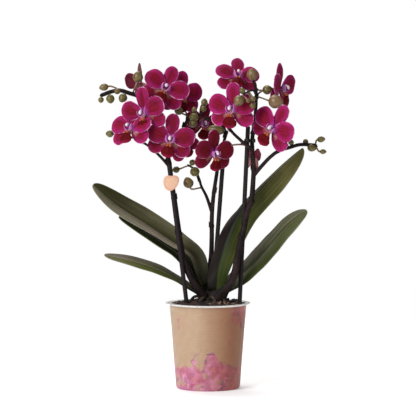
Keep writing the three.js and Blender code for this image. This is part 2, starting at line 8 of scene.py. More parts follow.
import bmesh
import bpy
from mathutils import Matrix, Vector, noise


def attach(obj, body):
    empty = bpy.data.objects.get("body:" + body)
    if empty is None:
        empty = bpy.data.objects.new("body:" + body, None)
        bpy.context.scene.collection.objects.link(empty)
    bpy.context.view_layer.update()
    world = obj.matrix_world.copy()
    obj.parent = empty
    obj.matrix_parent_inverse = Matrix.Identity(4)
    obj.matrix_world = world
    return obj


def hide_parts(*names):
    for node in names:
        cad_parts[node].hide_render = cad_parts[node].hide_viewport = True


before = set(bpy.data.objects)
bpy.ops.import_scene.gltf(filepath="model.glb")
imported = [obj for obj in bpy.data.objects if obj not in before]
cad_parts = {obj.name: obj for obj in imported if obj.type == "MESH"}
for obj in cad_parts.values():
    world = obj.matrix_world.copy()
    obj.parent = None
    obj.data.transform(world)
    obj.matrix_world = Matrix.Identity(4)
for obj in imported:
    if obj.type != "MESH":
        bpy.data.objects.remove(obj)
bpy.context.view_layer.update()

MM = 0.001
UP = Vector((0, 0, 1))
RIGHT = Vector((1, 0, 0))
PLAIN = (0, 0, 0)


# Small tools

def lerp(a, b, t):
    return a + (b - a) * t


def ease(low, high, value):
    """0 below low, 1 above high, and a smooth step between them."""
    t = min(1.0, max(0.0, (value - low) / (high - low)))
    return t * t * (3 - 2 * t)


def ripple(point, size, seed=0):
    """Smooth noise between about -1 and 1 whose bumps are about size millimetres wide."""
    return noise.noise(Vector(point) / size + Vector((seed * 17.3, seed * 5.1, 0)))


def stepped(stops, t, softness=0.0):
    """The value at t in a list of (place, value) stops. softness eases the straight runs between them."""
    for (t0, v0), (t1, v1) in zip(stops, stops[1:]):
        if t <= t1:
            share = max(0.0, (t - t0) / (t1 - t0))
            return lerp(v0, v1, lerp(share, share * share * (3 - 2 * share), softness))
    return stops[-1][1]


def shares(steps):
    """Even shares of a length, from 0 to 1."""
    return [i / steps for i in range(steps + 1)]


def widths(steps):
    """Even places across a width, from -1 to 1."""
    return [2 * i / steps - 1 for i in range(steps + 1)]


def towards_tip(steps, end, power=1.5):
    """Shares of a length from 0 to end that stand closer together towards the tip."""
    return [(1 - (1 - i / steps) ** power) * end for i in range(steps + 1)]


def turns(sides):
    """Even angles round a circle."""
    return [2 * math.pi * i / sides for i in range(sides)]


def swung(centre, one, two, angle, radius, squash=1.0):
    """The point at an angle round a centre, in the plane of one and two."""
    return centre + one * (radius * math.cos(angle)) + two * (radius * squash * math.sin(angle))


def two_faces(point, face, thickness):
    """The points on the front and the back of a sheet round one in its middle."""
    return point + face * (thickness / 2), point - face * (thickness / 2)


def spread(t, root, widest, blunt, rise=1.0):
    """How wide a leaf or petal is along its length, as a share of its width."""
    if t < widest:
        return root + (1 - root) * math.sin(math.pi / 2 * t / widest) ** rise
    return math.sqrt(max(0.0, 1 - ((t - widest) / (1 - widest)) ** blunt))


class Line:
    """A smooth line through points (a centripetal Catmull-Rom spline), read by share of its length."""

    def __init__(self, points, pieces=24):
        p = [Vector(q) for q in points]
        p = [p[0] * 2 - p[1]] + p + [p[-1] * 2 - p[-2]]
        self.spots = []
        for a, b, c, d in zip(p, p[1:], p[2:], p[3:]):
            ta, tb, tc = ((q - r).length ** 0.5 for q, r in ((b, a), (c, b), (d, c)))
            out = ((b - a) / ta - (c - a) / (ta + tb) + (c - b) / tb) * tb
            into = ((c - b) / tb - (d - b) / (tb + tc) + (d - c) / tc) * tb
            for i in range(pieces):
                t = i / pieces
                self.spots.append(
                    b * (2 * t**3 - 3 * t**2 + 1) + out * (t**3 - 2 * t**2 + t)
                    + c * (3 * t**2 - 2 * t**3) + into * (t**3 - t**2))
        self.spots.append(p[-2])
        self._measure()

    def _measure(self):
        self.reach = [0.0]
        for a, b in zip(self.spots, self.spots[1:]):
            self.reach.append(self.reach[-1] + (b - a).length)
        self.length = self.reach[-1]

    def at(self, share):
        goal = min(1.0, max(0.0, share)) * self.length
        low, high = 0, len(self.spots) - 1
        while high - low > 1:
            middle = (low + high) // 2
            if self.reach[middle] <= goal:
                low = middle
            else:
                high = middle
        span = self.reach[high] - self.reach[low]
        return self.spots[low].lerp(self.spots[high], (goal - self.reach[low]) / span)

    def along(self, share):
        step = 0.004
        return (self.at(min(1, share + step)) - self.at(max(0, share - step))).normalized()


class Arc(Line):
    """A cubic Bezier line, read like a Line."""

    def __init__(self, a, b, c, d, pieces=40):
        self.spots = []
        for i in range(pieces + 1):
            t = i / pieces
            s = 1 - t
            self.spots.append(a * s**3 + b * 3 * s * s * t + c * 3 * s * t * t + d * t**3)
        self._measure()


class Skin:
    """A mesh in the making. A spot is a point with its place mark, and each piece of skin has a kind
    mark. The materials read both."""

    def __init__(self):
        self.points, self.places, self.kinds = [], [], []
        self.faces, self.finishes = [], []

    def add(self, spots, faces, kind=PLAIN, finish=0):
        start = len(self.points)
        self.points += [point for point, _ in spots]
        self.places += [place for _, place in spots]
        self.kinds += [kind] * len(spots)
        self.faces += [[start + i for i in face] for face in faces]
        self.finishes += finish if isinstance(finish, list) else [finish] * len(faces)

    def blade(self, rows, kind=PLAIN, finish=0, back_finish=None):
        """A thin closed blade from a grid of cells: a front point, a back point and their place mark."""
        count, across = len(rows), len(rows[0])
        under = count * across
        back_finish = finish if back_finish is None else back_finish
        faces, finishes = [], []
        for r in range(count - 1):
            for c in range(across - 1):
                a = r * across + c
                face = [a, a + 1, a + across + 1, a + across]
                faces += [face, [i + under for i in reversed(face)]]
                finishes += [finish, back_finish]
        rim = [(0, c) for c in range(across - 1)]
        rim += [(r, across - 1) for r in range(count - 1)]
        rim += [(count - 1, c) for c in range(across - 1, 0, -1)]
        rim += [(r, 0) for r in range(count - 1, 0, -1)]
        loop = [r * across + c for r, c in rim]
        for a, b in zip(loop, loop[1:] + loop[:1]):
            faces.append([b, a, a + under, b + under])
            finishes.append(finish)
        cells = [cell for row in rows for cell in row]
        spots = [(front, mark) for front, _, mark in cells] + [(back, mark) for _, back, mark in cells]
        self.add(spots, faces, kind, finishes)

    def rings(self, rows, kind=PLAIN, finish=0, hoop=False):
        """A closed body over rings of spots, capped at both ends or, as a hoop, closed on itself."""
        count, around = len(rows), len(rows[0])
        total = count * around
        faces = []
        for r in range(count if hoop else count - 1):
            for i in range(around):
                a, b = r * around + i, r * around + (i + 1) % around
                faces.append([a, b, (b + around) % total, (a + around) % total])
        if not hoop:
            faces += [list(range(around))[::-1], [total - around + i for i in range(around)]]
        self.add([spot for row in rows for spot in row], faces, kind, finish)

    def tube(self, line, radius, sides, steps, kind=PLAIN, finish=0, squash=1.0):
        """A tube round a line, turned as little as possible on its way. radius is a function of share."""
        normal = line.along(0).orthogonal()
        rows = []
        for share in shares(steps):
            centre, along = line.at(share), line.along(share)
            normal = (normal - along * normal.dot(along)).normalized()
            other, r, reach = along.cross(normal), radius(share), share * line.length
            rows.append([(swung(centre, normal, other, angle, r, squash), (share, i / sides, reach))
                         for i, angle in enumerate(turns(sides))])
        self.rings(rows, kind, finish)

    def lathe(self, profile, sides, finish_of=lambda step: 0, kind=PLAIN):
        """A turned body whose profile starts and ends near the axis. finish_of gives a finish by step."""
        rows = [[(Vector((r * math.cos(a), r * math.sin(a), z)), (r, z, 0)) for a in turns(sides)]
                for r, z in profile]
        finishes = [finish_of(step) for step in range(len(profile) - 1) for _ in range(sides)]
        self.rings(rows, kind, finishes + [finish_of(0), finish_of(len(profile) - 2)])

    def piece(self, name, materials, slot, *nodes, smooth=True):
        """The finished object: it rides on the part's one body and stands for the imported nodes."""
        mesh = bpy.data.meshes.new(name)
        mesh.from_pydata([p * MM for p in self.points], [], self.faces)
        for label, marks in (("place", self.places), ("kind", self.kinds)):
            layer = mesh.attributes.new(label, "FLOAT_VECTOR", "POINT")
            layer.data.foreach_set("vector", [value for mark in marks for value in mark])
        for material in materials:
            mesh.materials.append(material)
        mesh.polygons.foreach_set("material_index", self.finishes)
        mesh.polygons.foreach_set("use_smooth", [smooth] * len(self.faces))
        tidy = bmesh.new()
        tidy.from_mesh(mesh)
        bmesh.ops.recalc_face_normals(tidy, faces=tidy.faces)
        tidy.to_mesh(mesh)
        tidy.free()
        thing = bpy.data.objects.new(name, mesh)
        bpy.context.scene.collection.objects.link(thing)
        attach(thing, "root")
        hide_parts(*nodes)


# Tools for materials

def ink(text):
    """An sRGB hex colour as linear red, green, blue and alpha."""
    values = [int(text[i:i + 2], 16) / 255 for i in (1, 3, 5)]
    return [v / 12.92 if v <= 0.04045 else ((v + 0.055) / 1.055) ** 2.4 for v in values] + [1.0]


def add(owner, kind, *inputs, out=0, stops=None, **named):
    """Adds one node to a material or world. inputs are values or links for its first sockets. What is
    named with a capital goes to the socket of that name, with _ for each space, and what is named without
    one is a setting. stops are a ramp's. It gives the output named or numbered out, or all for None."""
    node = owner.node_tree.nodes.new("ShaderNode" + kind)
    sockets = dict(enumerate(inputs))
    for name, value in named.items():
        if name[0].isupper():
            sockets[name.replace("_", " ")] = value
        else:
            setattr(node, name, value)
    for socket, value in sockets.items():
        if isinstance(value, bpy.types.NodeSocket):
            owner.node_tree.links.new(value, node.inputs[socket])
        else:
            node.inputs[socket].default_value = ink(value) if isinstance(value, str) else value
    if stops:
        ramp = node.color_ramp.elements
        ramp[0].position, ramp[1].position = stops[0][0], stops[-1][0]
        for place, _ in stops[1:-1]:
            ramp.new(place)
        for stop, (_, colour) in zip(ramp, stops):
            stop.color = ink(colour)
    return node.outputs if out is None else node.outputs[out] if node.outputs else None


def start(name):
    """A new material, and the place in space where its patterns are read."""
    material = bpy.data.materials.new(name)
    material.use_nodes = True
    material.node_tree.nodes.clear()
    return material, add(material, "TexCoord", out="Object")


def read_mark(m, name):
    """The three numbers of a mark, place or kind, that the mesh carries."""
    mark = add(m, "Attribute", out="Vector", attribute_name=name)
    return add(m, "SeparateXYZ", mark, out=None)


def tint(m, colour, *zones):
    """Lays the colour of each zone over the rest, more and more as its value goes from low to high."""
    for value, low, high, over in zones:
        share = add(m, "MapRange", value, low, high)
        colour = add(m, "MixRGB", share, colour, over)
    return colour


def drawn_out(m, place, stretch, detail):
    """A cloud that is read in a blade's own marks and drawn out along it, as its veins and lines are."""
    fan = add(m, "CombineXYZ", *place)
    stretched = add(m, "Mapping", fan, Scale=stretch)
    return add(m, "TexNoise", stretched, Scale=1.0, Detail=detail)


def shade(m, colour, roughness, relief=None, **sockets):
    """Ends a material with its shader. relief is a height, how deep it is in millimetres and its strength."""
    if relief:
        height, depth, strength = relief
        sockets["Normal"] = add(m, "Bump", Height=height, Distance=depth * MM, Strength=strength)
    add(m, "OutputMaterial", add(m, "BsdfPrincipled", Base_Color=colour, Roughness=roughness, **sockets))
    return m


# Materials
# Sizes of patterns are in millimetres. Scale is bumps to the metre, so a bump of s mm is 1 / (s * MM).

def per_metre(size):
    return 1 / (size * MM)


def petal_front():
    """Petal, grown, its skin a pile of tiny cones: velvet that darkens face on and blooms lilac side on.
    Crimson in the middle, magenta towards the margin, with a hair of white at the very edge."""
    m, here = start("petal_velvet")
    along, across, edge = read_mark(m, "place")
    lateral, _, tone = read_mark(m, "kind")
    cloud = add(m, "TexNoise", here, Scale=per_metre(7), Detail=2.0)
    wander = add(m, "Math", cloud, 7.0, -3.5, operation="MULTIPLY_ADD")
    depth = add(m, "Math", edge, wander)
    margin = add(m, "MapRange", depth, 7.0, 0.0, interpolation_type="SMOOTHSTEP")
    dark = add(m, "MixRGB", cloud, "#52040d", "#6c0718")
    bright = add(m, "MixRGB", cloud, "#760824", "#8e0e3a")
    # Painted light in part: the tone, set higher on some flowers in shade, lifts the body from the dark
    # crimson to the bright one
    body = add(m, "MixRGB", tone, dark, bright)
    outer = add(m, "MixRGB", tone, "#741034", "#a41e6a")
    colour = add(m, "MixRGB", margin, body, outer)
    veins = drawn_out(m, (along, across, tone), (1.3, 11, 37), 2.0)
    streaks = tint(m, "#d8c8ce", (veins, 0.42, 0.58, "#ffffff"))
    colour = add(m, "MixRGB", 1.0, colour, streaks, blend_type="MULTIPLY")
    heart = (along, 0.19, 0.04, "#a43a94")
    colour = tint(m, colour, heart)
    # The salmon patch at the foot of the two lower sepals, with its fine dark red dots
    root = add(m, "MapRange", along, 0.46, 0.26)
    off = add(m, "Math", across, operation="ABSOLUTE")
    middle = add(m, "MapRange", off, 0.68, 0.24)
    patch = add(m, "Math", root, middle, operation="MULTIPLY")
    patch = add(m, "Math", patch, lateral, operation="MULTIPLY")
    dots = add(m, "TexVoronoi", here, Scale=per_metre(0.9))
    salmon = tint(m, "#7c2030", (dots, 0.2, 0.45, "#b07c70"))
    colour = add(m, "MixRGB", patch, colour, salmon)
    # The hair of white, uneven in its width
    thin = add(m, "TexNoise", here, Scale=per_metre(6))
    limit = add(m, "MapRange", thin, 0.42, 0.62, 0.12, 0.75)
    rim = add(m, "Math", edge, limit, operation="DIVIDE")
    colour = tint(m, colour, (rim, 1.2, 0.5, "#cf98b6"))
    cones = add(m, "TexNoise", here, Scale=per_metre(0.45), Detail=2.0)
    height = add(m, "Math", cones, veins, operation="ADD")
    return shade(m, colour, 0.75, (height, 0.12, 0.7), Specular_IOR_Level=0.12,
                 Sheen_Weight=0.04, Sheen_Roughness=0.4, Sheen_Tint="#e070b8")


def petal_back():
    """The back of a petal, grown, smooth and waxy: petals dull crimson with paler streaks along them,
    sepals salmon pink with crimson at the margin."""
    m, here = start("petal_back_wax")
    along, across, edge = read_mark(m, "place")
    _, sepal, tone = read_mark(m, "kind")
    streaks = drawn_out(m, (along, across, tone), (1.1, 9, 5), 3.0)
    vein = add(m, "MapRange", streaks, 0.38, 0.64)
    petal = add(m, "MixRGB", vein, "#76142e", "#96405a")
    salmon = add(m, "MixRGB", vein, "#9c5a60", "#c08c86")
    sepals = tint(m, "#7c1234", (edge, 0.6, 3.2, salmon))
    colour = add(m, "MixRGB", sepal, petal, sepals)
    fine = add(m, "TexNoise", here, Scale=per_metre(0.6), Detail=2.0)
    return shade(m, colour, 0.6, (fine, 0.08, 0.5), Specular_IOR_Level=0.25)


def lip_front():
    """The lip's middle lobe, grown: thick, satin and nearly blood red, with a magenta tip, and an orange
    brown foot that turns lilac pink in the throat."""
    m, here = start("lip_satin")
    along, _, edge = read_mark(m, "place")
    cloud = add(m, "TexNoise", here, Scale=per_metre(3), Detail=3.0)
    body = add(m, "MixRGB", cloud, "#450209", "#62040f")
    tip, foot = (along, 0.8, 0.98, "#860c3c"), (along, 0.46, 0.36, "#a04836")
    throat, rim = (along, 0.34, 0.2, "#b07a90"), (edge, 0.5, 0.1, "#74102e")
    colour = tint(m, body, tip, foot, throat, rim)
    return shade(m, colour, 0.7, (cloud, 0.15, 0.5), Specular_IOR_Level=0.08)


def side_lobe():
    """The two lobes beside the column, grown: thin and waxy, lilac with a pale foot and fine crimson bars."""
    m, here = start("side_lobe_wax")
    along, _, edge = read_mark(m, "place")
    wobble = add(m, "TexNoise", here, Scale=per_metre(1.2))
    step = add(m, "Math", along, 9.0, wobble, operation="MULTIPLY_ADD")
    wave = add(m, "Math", step, 1.0, operation="PINGPONG")
    bar = add(m, "MapRange", wave, 0.7, 0.95)
    foot = add(m, "MapRange", along, 0.5, 0.1)
    skin = add(m, "MixRGB", foot, "#a2589a", "#c8a4b4")
    bars = add(m, "Math", bar, foot, operation="MULTIPLY")
    barred = add(m, "MixRGB", bars, skin, "#a02848")
    rim = (edge, 0.45, 0.1, "#bd84b4")
    return shade(m, tint(m, barred, rim), 0.45, IOR=1.38)


def callus():
    """The fleshy knobs at the foot of the lip, grown: wet-looking orange brown with red freckles."""
    m, here = start("callus_flesh")
    dots = add(m, "TexVoronoi", here, Scale=per_metre(0.8))
    return shade(m, tint(m, "#861a18", (dots, 0.2, 0.4, "#a85c36")), 0.35, IOR=1.4)


def column_wax():
    """The column, grown: a waxy rod, magenta where it leaves the heart and a white cap at its end."""
    m, here = start("column_wax")
    along = read_mark(m, "place")[0]
    cloud = add(m, "TexNoise", here, Scale=per_metre(1.5))
    shift = add(m, "Math", cloud, 0.16, along, operation="MULTIPLY_ADD")
    colour = add(m, "ValToRGB", shift, stops=[
        (0.05, "#7c2482"), (0.3, "#9a48a0"), (0.48, "#b87cc0"), (0.6, "#cdb4cc"), (0.95, "#d8ccd2")])
    return shade(m, colour, 0.35, (cloud, 0.1, 0.4))


def leaf_cuticle(name, far, near, under, painted_rib_line):
    """A leaf, grown, under a thick waxy cuticle: satin, with fine lines along it, a groove at the rib and a
    thin pale margin, which is a painted highlight along the edge. The line at the rib is painted shade in the
    groove where its colour is dark and a painted highlight where it is pale. far and near are the colours of
    its two halves: beside the rib, at the margin, at the tip and at the foot, and on some leaves they hold
    painted sheen and painted shade."""
    m, here = start(name)
    along, across, edge = read_mark(m, "place")
    back = read_mark(m, "kind")[0]
    off = add(m, "Math", across, operation="ABSOLUTE")
    outer = add(m, "MapRange", off, 0.12, 0.7)
    end = add(m, "MapRange", along, 0.5, 0.85)
    root = add(m, "MapRange", along, 0.3, 0.06)
    halves = []
    for half, margin, tip, foot in (near, far):
        for share, other in ((outer, margin), (end, tip), (root, foot)):
            half = add(m, "MixRGB", share, half, other)
        halves.append(half)
    blade = tint(m, halves[0], (across, -0.06, 0.06, halves[1]))
    cloud = add(m, "TexNoise", here, Scale=per_metre(16), Detail=4.0)
    tone = add(m, "MixRGB", cloud, "#bcbcb4", "#ffffff")
    lines = drawn_out(m, (along, across), (2.0, 17, 1), 3.0)
    lined = tint(m, "#c8c8b8", (lines, 0.4, 0.6, "#ffffff"))
    for layer in (tone, lined):
        blade = add(m, "MixRGB", 1.0, blade, layer, blend_type="MULTIPLY")
    # The rib line: painted shade in the groove on leaves where its colour is dark, a painted highlight where
    # it is pale
    blade = tint(m, blade, (off, 0.055, 0.02, painted_rib_line))
    blotch = add(m, "TexNoise", here, Scale=per_metre(5), Detail=5.0, Roughness=0.65)
    below = tint(m, "#46502a", (blotch, 0.2, 0.75, under))
    colour = add(m, "MixRGB", back, blade, below)
    # A thin pale line at the margin, from a little way above the foot: a painted highlight along the edge
    free = add(m, "MapRange", along, 0.15, 0.4, To_Max=0.9)
    rim = add(m, "MapRange", edge, 0.9, 0.2, To_Max=free)
    colour = add(m, "MixRGB", rim, colour, "#86836c")
    # Below about 107 mm, low on the crown, the leaves darken to near black
    height = add(m, "SeparateXYZ", here, out="Z")
    colour = tint(m, colour, (height, 107 * MM, 99 * MM, "#1a1911"))
    pores = add(m, "TexNoise", here, Scale=per_metre(0.9), Detail=2.0)
    skin = add(m, "Math", pores, lines, operation="ADD")
    strength = add(m, "MapRange", along, 0.3, 0.8, 0.45, 0.05)
    dull = add(m, "MapRange", cloud, 0.3, 0.7, 0.5, 0.62)
    dull = add(m, "Math", root, 0.25, dull, operation="MULTIPLY_ADD")
    return shade(m, colour, dull, (skin, 0.14, strength), Specular_IOR_Level=0.17,
                 Coat_Weight=0.02, Coat_Roughness=0.25)


def spike_skin():
    """A flower spike, grown: smooth, purple-brown, nearly black in places, with a fine pale speckle."""
    m, here = start("spike_skin")
    cloud = add(m, "TexNoise", here, Scale=per_metre(14), Detail=3.0)
    dark = add(m, "ValToRGB", cloud, stops=[(0.3, "#10090b"), (0.5, "#1a1011"), (0.68, "#2a1d1c")])
    dots = add(m, "TexNoise", here, Scale=per_metre(0.8), Detail=1.0)
    speckled = tint(m, dark, (dots, 0.62, 0.72, "#3a2d2b"))
    return shade(m, speckled, 0.6, (dots, 0.12, 0.5), Specular_IOR_Level=0.12)


def stalk_skin():
    """A flower's or bud's own stalk, grown: smooth, thin and waxy, from purple-brown to a pinkish green."""
    m, here = start("stalk_skin")
    along, blush = read_mark(m, "place")[0], read_mark(m, "kind")[0]
    cloud = add(m, "TexNoise", here, Scale=per_metre(6), Detail=2.0)
    shift = add(m, "Math", cloud, 0.4, along, operation="MULTIPLY_ADD")
    green = add(m, "ValToRGB", shift, stops=[(0.15, "#33201e"), (0.6, "#57452a"), (1.0, "#6c6432")])
    pink = add(m, "ValToRGB", shift, stops=[(0.15, "#3c2022"), (0.6, "#7c464a"), (1.0, "#a0716a")])
    colour = add(m, "MixRGB", blush, green, pink)
    return shade(m, colour, 0.4, (cloud, 0.1, 0.4))


def bud_skin():
    """A closed bud, grown: three sepals shut edge to edge, olive green and waxy, flushed pinkish brown."""
    m, here = start("bud_skin")
    along, _, seam = read_mark(m, "place")
    cloud = add(m, "TexNoise", here, Scale=per_metre(4), Detail=3.0)
    green = add(m, "MixRGB", cloud, "#423c12", "#6e662c")
    amount = add(m, "Math", cloud, read_mark(m, "kind")[0], operation="ADD")
    flush, foot = (amount, 0.8, 1.3, "#7e5c42"), (along, 0.3, 0.0, "#463622")
    colour = tint(m, green, flush, foot, (seam, 0.35, 0.9, "#47261f"))
    fine = add(m, "TexNoise", here, Scale=per_metre(0.7))
    return shade(m, colour, 0.38, (fine, 0.08, 0.4))


def crown_skin():
    """The crown's leaf bases, grown: firm and waxy, green below and stained purple-brown above."""
    m, here = start("crown_skin")
    height = add(m, "SeparateXYZ", here, out="Z")
    cloud = add(m, "TexNoise", here, Scale=per_metre(7), Detail=4.0)
    rise = add(m, "MapRange", height, 90 * MM, 122 * MM)
    shift = add(m, "Math", cloud, 0.5, rise, operation="MULTIPLY_ADD")
    colour = add(m, "ValToRGB", shift, stops=[(0.25, "#20260f"), (0.5, "#1a1c10"), (0.8, "#151012")])
    return shade(m, colour, 0.65, (cloud, 0.4, 0.5), Specular_IOR_Level=0.15)


def old_leaf_base():
    """An old leaf base, grown and dried: dark purple-brown and leathery, ribbed along its length."""
    m, here = start("old_leaf_base")
    tilted = add(m, "Mapping", here, Rotation=(0, -0.75, 0))
    ribbed = add(m, "Mapping", tilted, Scale=(1, 1, 0.12))
    ribs = add(m, "TexNoise", ribbed, Scale=per_metre(1.6), Detail=3.0)
    cloud = add(m, "TexNoise", here, Scale=per_metre(8), Detail=4.0)
    shift = add(m, "Math", ribs, 0.5, cloud, operation="MULTIPLY_ADD")
    colour = add(m, "ValToRGB", shift, stops=[(0.5, "#0b0808"), (0.76, "#18110f"), (1.0, "#2c2119")])
    return shade(m, colour, 0.7, (ribs, 0.4, 0.6), Specular_IOR_Level=0.15)


def root_skin():
    """An aerial root, grown, in its spongy outer coat: matt and brown, pinkish where it is fresh."""
    m, here = start("root_velamen")
    cloud = add(m, "TexNoise", here, Scale=per_metre(4), Detail=5.0)
    colour = add(m, "ValToRGB", cloud, stops=[(0.32, "#15110c"), (0.5, "#281d15"), (0.7, "#4c372b")])
    return shade(m, colour, 0.8, (cloud, 0.4, 0.6))


def bark_chip():
    """Broken pine bark, damp: rough and dark, each chip its own brown, a few split to the pinkish inside."""
    m, here = start("pine_bark")
    tone = read_mark(m, "kind")[0]
    layer = add(m, "Mapping", here, Scale=(1, 1, 3.5))
    cloud = add(m, "TexNoise", layer, Scale=per_metre(3.5), Detail=6.0, Roughness=0.65)
    shift = add(m, "Math", cloud, 0.35, tone, operation="MULTIPLY_ADD")
    colour = add(m, "ValToRGB", shift, stops=[
        (0.14, "#0e0807"), (0.4, "#21140f"), (0.62, "#36221a"), (0.8, "#5c3c30"), (0.95, "#94765f")])
    return shade(m, colour, 0.85, (cloud, 0.8, 0.9))


# The washes: pale and deep ink, the size of a blot in millimetres, and where its cloud is read
WASHES = [("#a0668f", "#7c4270", 11, 0.57), ("#bb6a7e", "#9c4660", 13, 0.31), ("#c486a2", "#ab5f84", 10, 0.0)]
WET_SPOTS = [(37, -17, 82), (-22, 34, 74)]
LINE_GAP = 1.6


def printed_wrap():
    """The cup's outside: kraft-look paper, laid and printed. Fine level lines run round it, painted shade
    warms and deepens it towards one side, and broad soft washes of watercolour pink, rose and purple gather
    round the foot."""
    m, here = start("printed_kraft_paper")
    aside, _, height = add(m, "SeparateXYZ", here, out=None)
    # Level lines (a wave repeats every pi / 10 / Scale), and the cloudiness of pulp
    lines = add(m, "TexWave", here, Scale=math.pi / 10 * per_metre(LINE_GAP), bands_direction="Z")
    pulp = add(m, "TexNoise", here, Scale=per_metre(7), Detail=6.0, Roughness=0.6)
    paper = add(m, "MixRGB", pulp, "#9a7e64", "#b1967c")
    laid = add(m, "MixRGB", lines, "#f6f3ef", "#ffffff")
    # Painted shade: towards +X, the side turned away from the key lamp, the paper is multiplied darker and
    # browner
    painted_side_shade = tint(m, "#ffffff", (aside, -12 * MM, 26 * MM, "#d29d75"))
    # Where the washes lie: a band with an uneven top, and a few patches higher up
    swell = add(m, "TexNoise", here, Scale=per_metre(24), Detail=1.0)
    top = add(m, "Math", swell, 96 * MM, -16 * MM, operation="MULTIPLY_ADD")
    below = add(m, "Math", top, height, operation="SUBTRACT")
    wet = add(m, "MapRange", below, -12 * MM, 14 * MM)
    for spot in WET_SPOTS:
        away = add(m, "VectorMath", here, Vector(spot) * MM, out="Value", operation="DISTANCE")
        damp = add(m, "MapRange", away, 26 * MM, 8 * MM)
        wet = add(m, "Math", wet, damp, operation="MAXIMUM")
    # Each wash floods where its own cloud is thick, pools softly inside and dries with a darker edge
    colour = paper
    for pale, deep, size, shift in WASHES:
        moved = add(m, "Mapping", here, Location=(shift, shift, shift))
        cloud = add(m, "TexNoise", moved, Scale=per_metre(size), Detail=4.0, Roughness=0.5, Distortion=0.9)
        level = add(m, "Math", wet, 0.26, cloud, operation="MULTIPLY_ADD")
        flood = add(m, "MapRange", level, 0.70, 0.775)
        flood = add(m, "Math", flood, 0.88, operation="MULTIPLY")
        pool = add(m, "TexNoise", moved, Scale=per_metre(size / 1.6), Detail=2.0)
        wash = tint(m, deep, (pool, 0.36, 0.62, pale))
        inside = add(m, "MapRange", level, 0.73, 0.81, 0.4)
        wash = add(m, "MixRGB", inside, deep, wash)
        colour = add(m, "MixRGB", flood, colour, wash)
    for layer in (laid, painted_side_shade):
        colour = add(m, "MixRGB", 1.0, colour, layer, blend_type="MULTIPLY")
    return shade(m, colour, 0.5, (pulp, 0.05, 0.3), Coat_Weight=0.08, Coat_Roughness=0.35)


def white_plastic():
    """The cup's rim and inside: thin white polypropylene, moulded, smooth with a soft shine."""
    m, here = start("white_polypropylene")
    cloud = add(m, "TexNoise", here, Scale=per_metre(12), Detail=3.0)
    colour = add(m, "MixRGB", cloud, "#e6e2de", "#f2f0ec")
    return shade(m, colour, 0.35, (cloud, 0.1, 0.2), IOR=1.49)


def clear_plastic():
    """The grow pot: thin clear polypropylene, thermoformed, a little cloudy, so that it shows as a pale
    grey veil with a bright edge."""
    m, here = start("clear_polypropylene")
    cloud = add(m, "TexNoise", here, Scale=per_metre(9), Detail=3.0)
    colour = add(m, "MixRGB", cloud, "#f2f2f1", "#fcfcfb")
    dull = add(m, "MapRange", cloud, To_Min=0.08, To_Max=0.2)
    return shade(m, colour, dull, IOR=1.2, Transmission_Weight=0.36)


def stake_plastic():
    """A support stake: dark brown plastic, extruded, with faint lines along it and a dull shine."""
    m, here = start("brown_extruded_plastic")
    lengthwise = add(m, "Mapping", here, Scale=(1, 1, 0.04))
    lines = add(m, "TexNoise", lengthwise, Scale=per_metre(0.7), Detail=2.0)
    wear = add(m, "TexNoise", here, Scale=per_metre(8), Detail=4.0)
    colour = add(m, "MixRGB", wear, "#140c10", "#20161a")
    return shade(m, colour, 0.55, (lines, 0.15, 0.5), Specular_IOR_Level=0.2)


def clip_plastic():
    """A clip: black polypropylene, injection moulded, satin with the faint mottle of its mould."""
    m, here = start("black_polypropylene")
    mottle = add(m, "TexNoise", here, Scale=per_metre(0.8), Detail=2.0)
    colour = add(m, "MixRGB", mottle, "#0c0a0b", "#181416")
    return shade(m, colour, 0.38, (mottle, 0.08, 0.4), IOR=1.49)


def tag_card():
    """The tag: coated card, die cut, pale peach that warms to pink towards the edge, with a paper grain."""
    m, here = start("coated_card")
    edge = read_mark(m, "place")[2]
    fibre = add(m, "TexNoise", here, Scale=per_metre(1.2), Detail=5.0, Roughness=0.6)
    card = add(m, "MixRGB", fibre, "#cc9e7f", "#d8b498")
    return shade(m, tint(m, card, (edge, 3.0, 0.0, "#c9937a")), 0.5, (fibre, 0.06, 0.4))


# The cup and the clear grow pot hung in it

CUP_HEIGHT = 90
CUP_TOP_RADIUS = 40.7
CUP_BASE_RADIUS = 34.1
CUP_WALL = 1.2
CUP_FLOOR = 2.4
CUP_HEEL = 3
FOOT_RECESS = 0.8
RIM_BAND = 0.84
RIM_ROUND = 0.5
LINER_GAP = 0.3
LINER_WALL = 0.7
LINER_ROUND = 0.6
FLANGE_RADIUS = 45
FLANGE_THICKNESS = 0.8
# How near the axis a turned profile starts
AXIS = 0.5
ROUND_SIDES = 128


def cup_bore(z):
    return lerp(CUP_BASE_RADIUS, CUP_TOP_RADIUS, (z - CUP_FLOOR) / (CUP_HEIGHT - CUP_FLOOR)) - CUP_WALL


def quarter(centre, radius, first, last, steps=6):
    """An arc of a profile, round a centre, from one angle in degrees to another."""
    angles = [math.radians(lerp(first, last, share)) for share in shares(steps)]
    return [(centre[0] + radius * math.cos(a), centre[1] + radius * math.sin(a)) for a in angles]


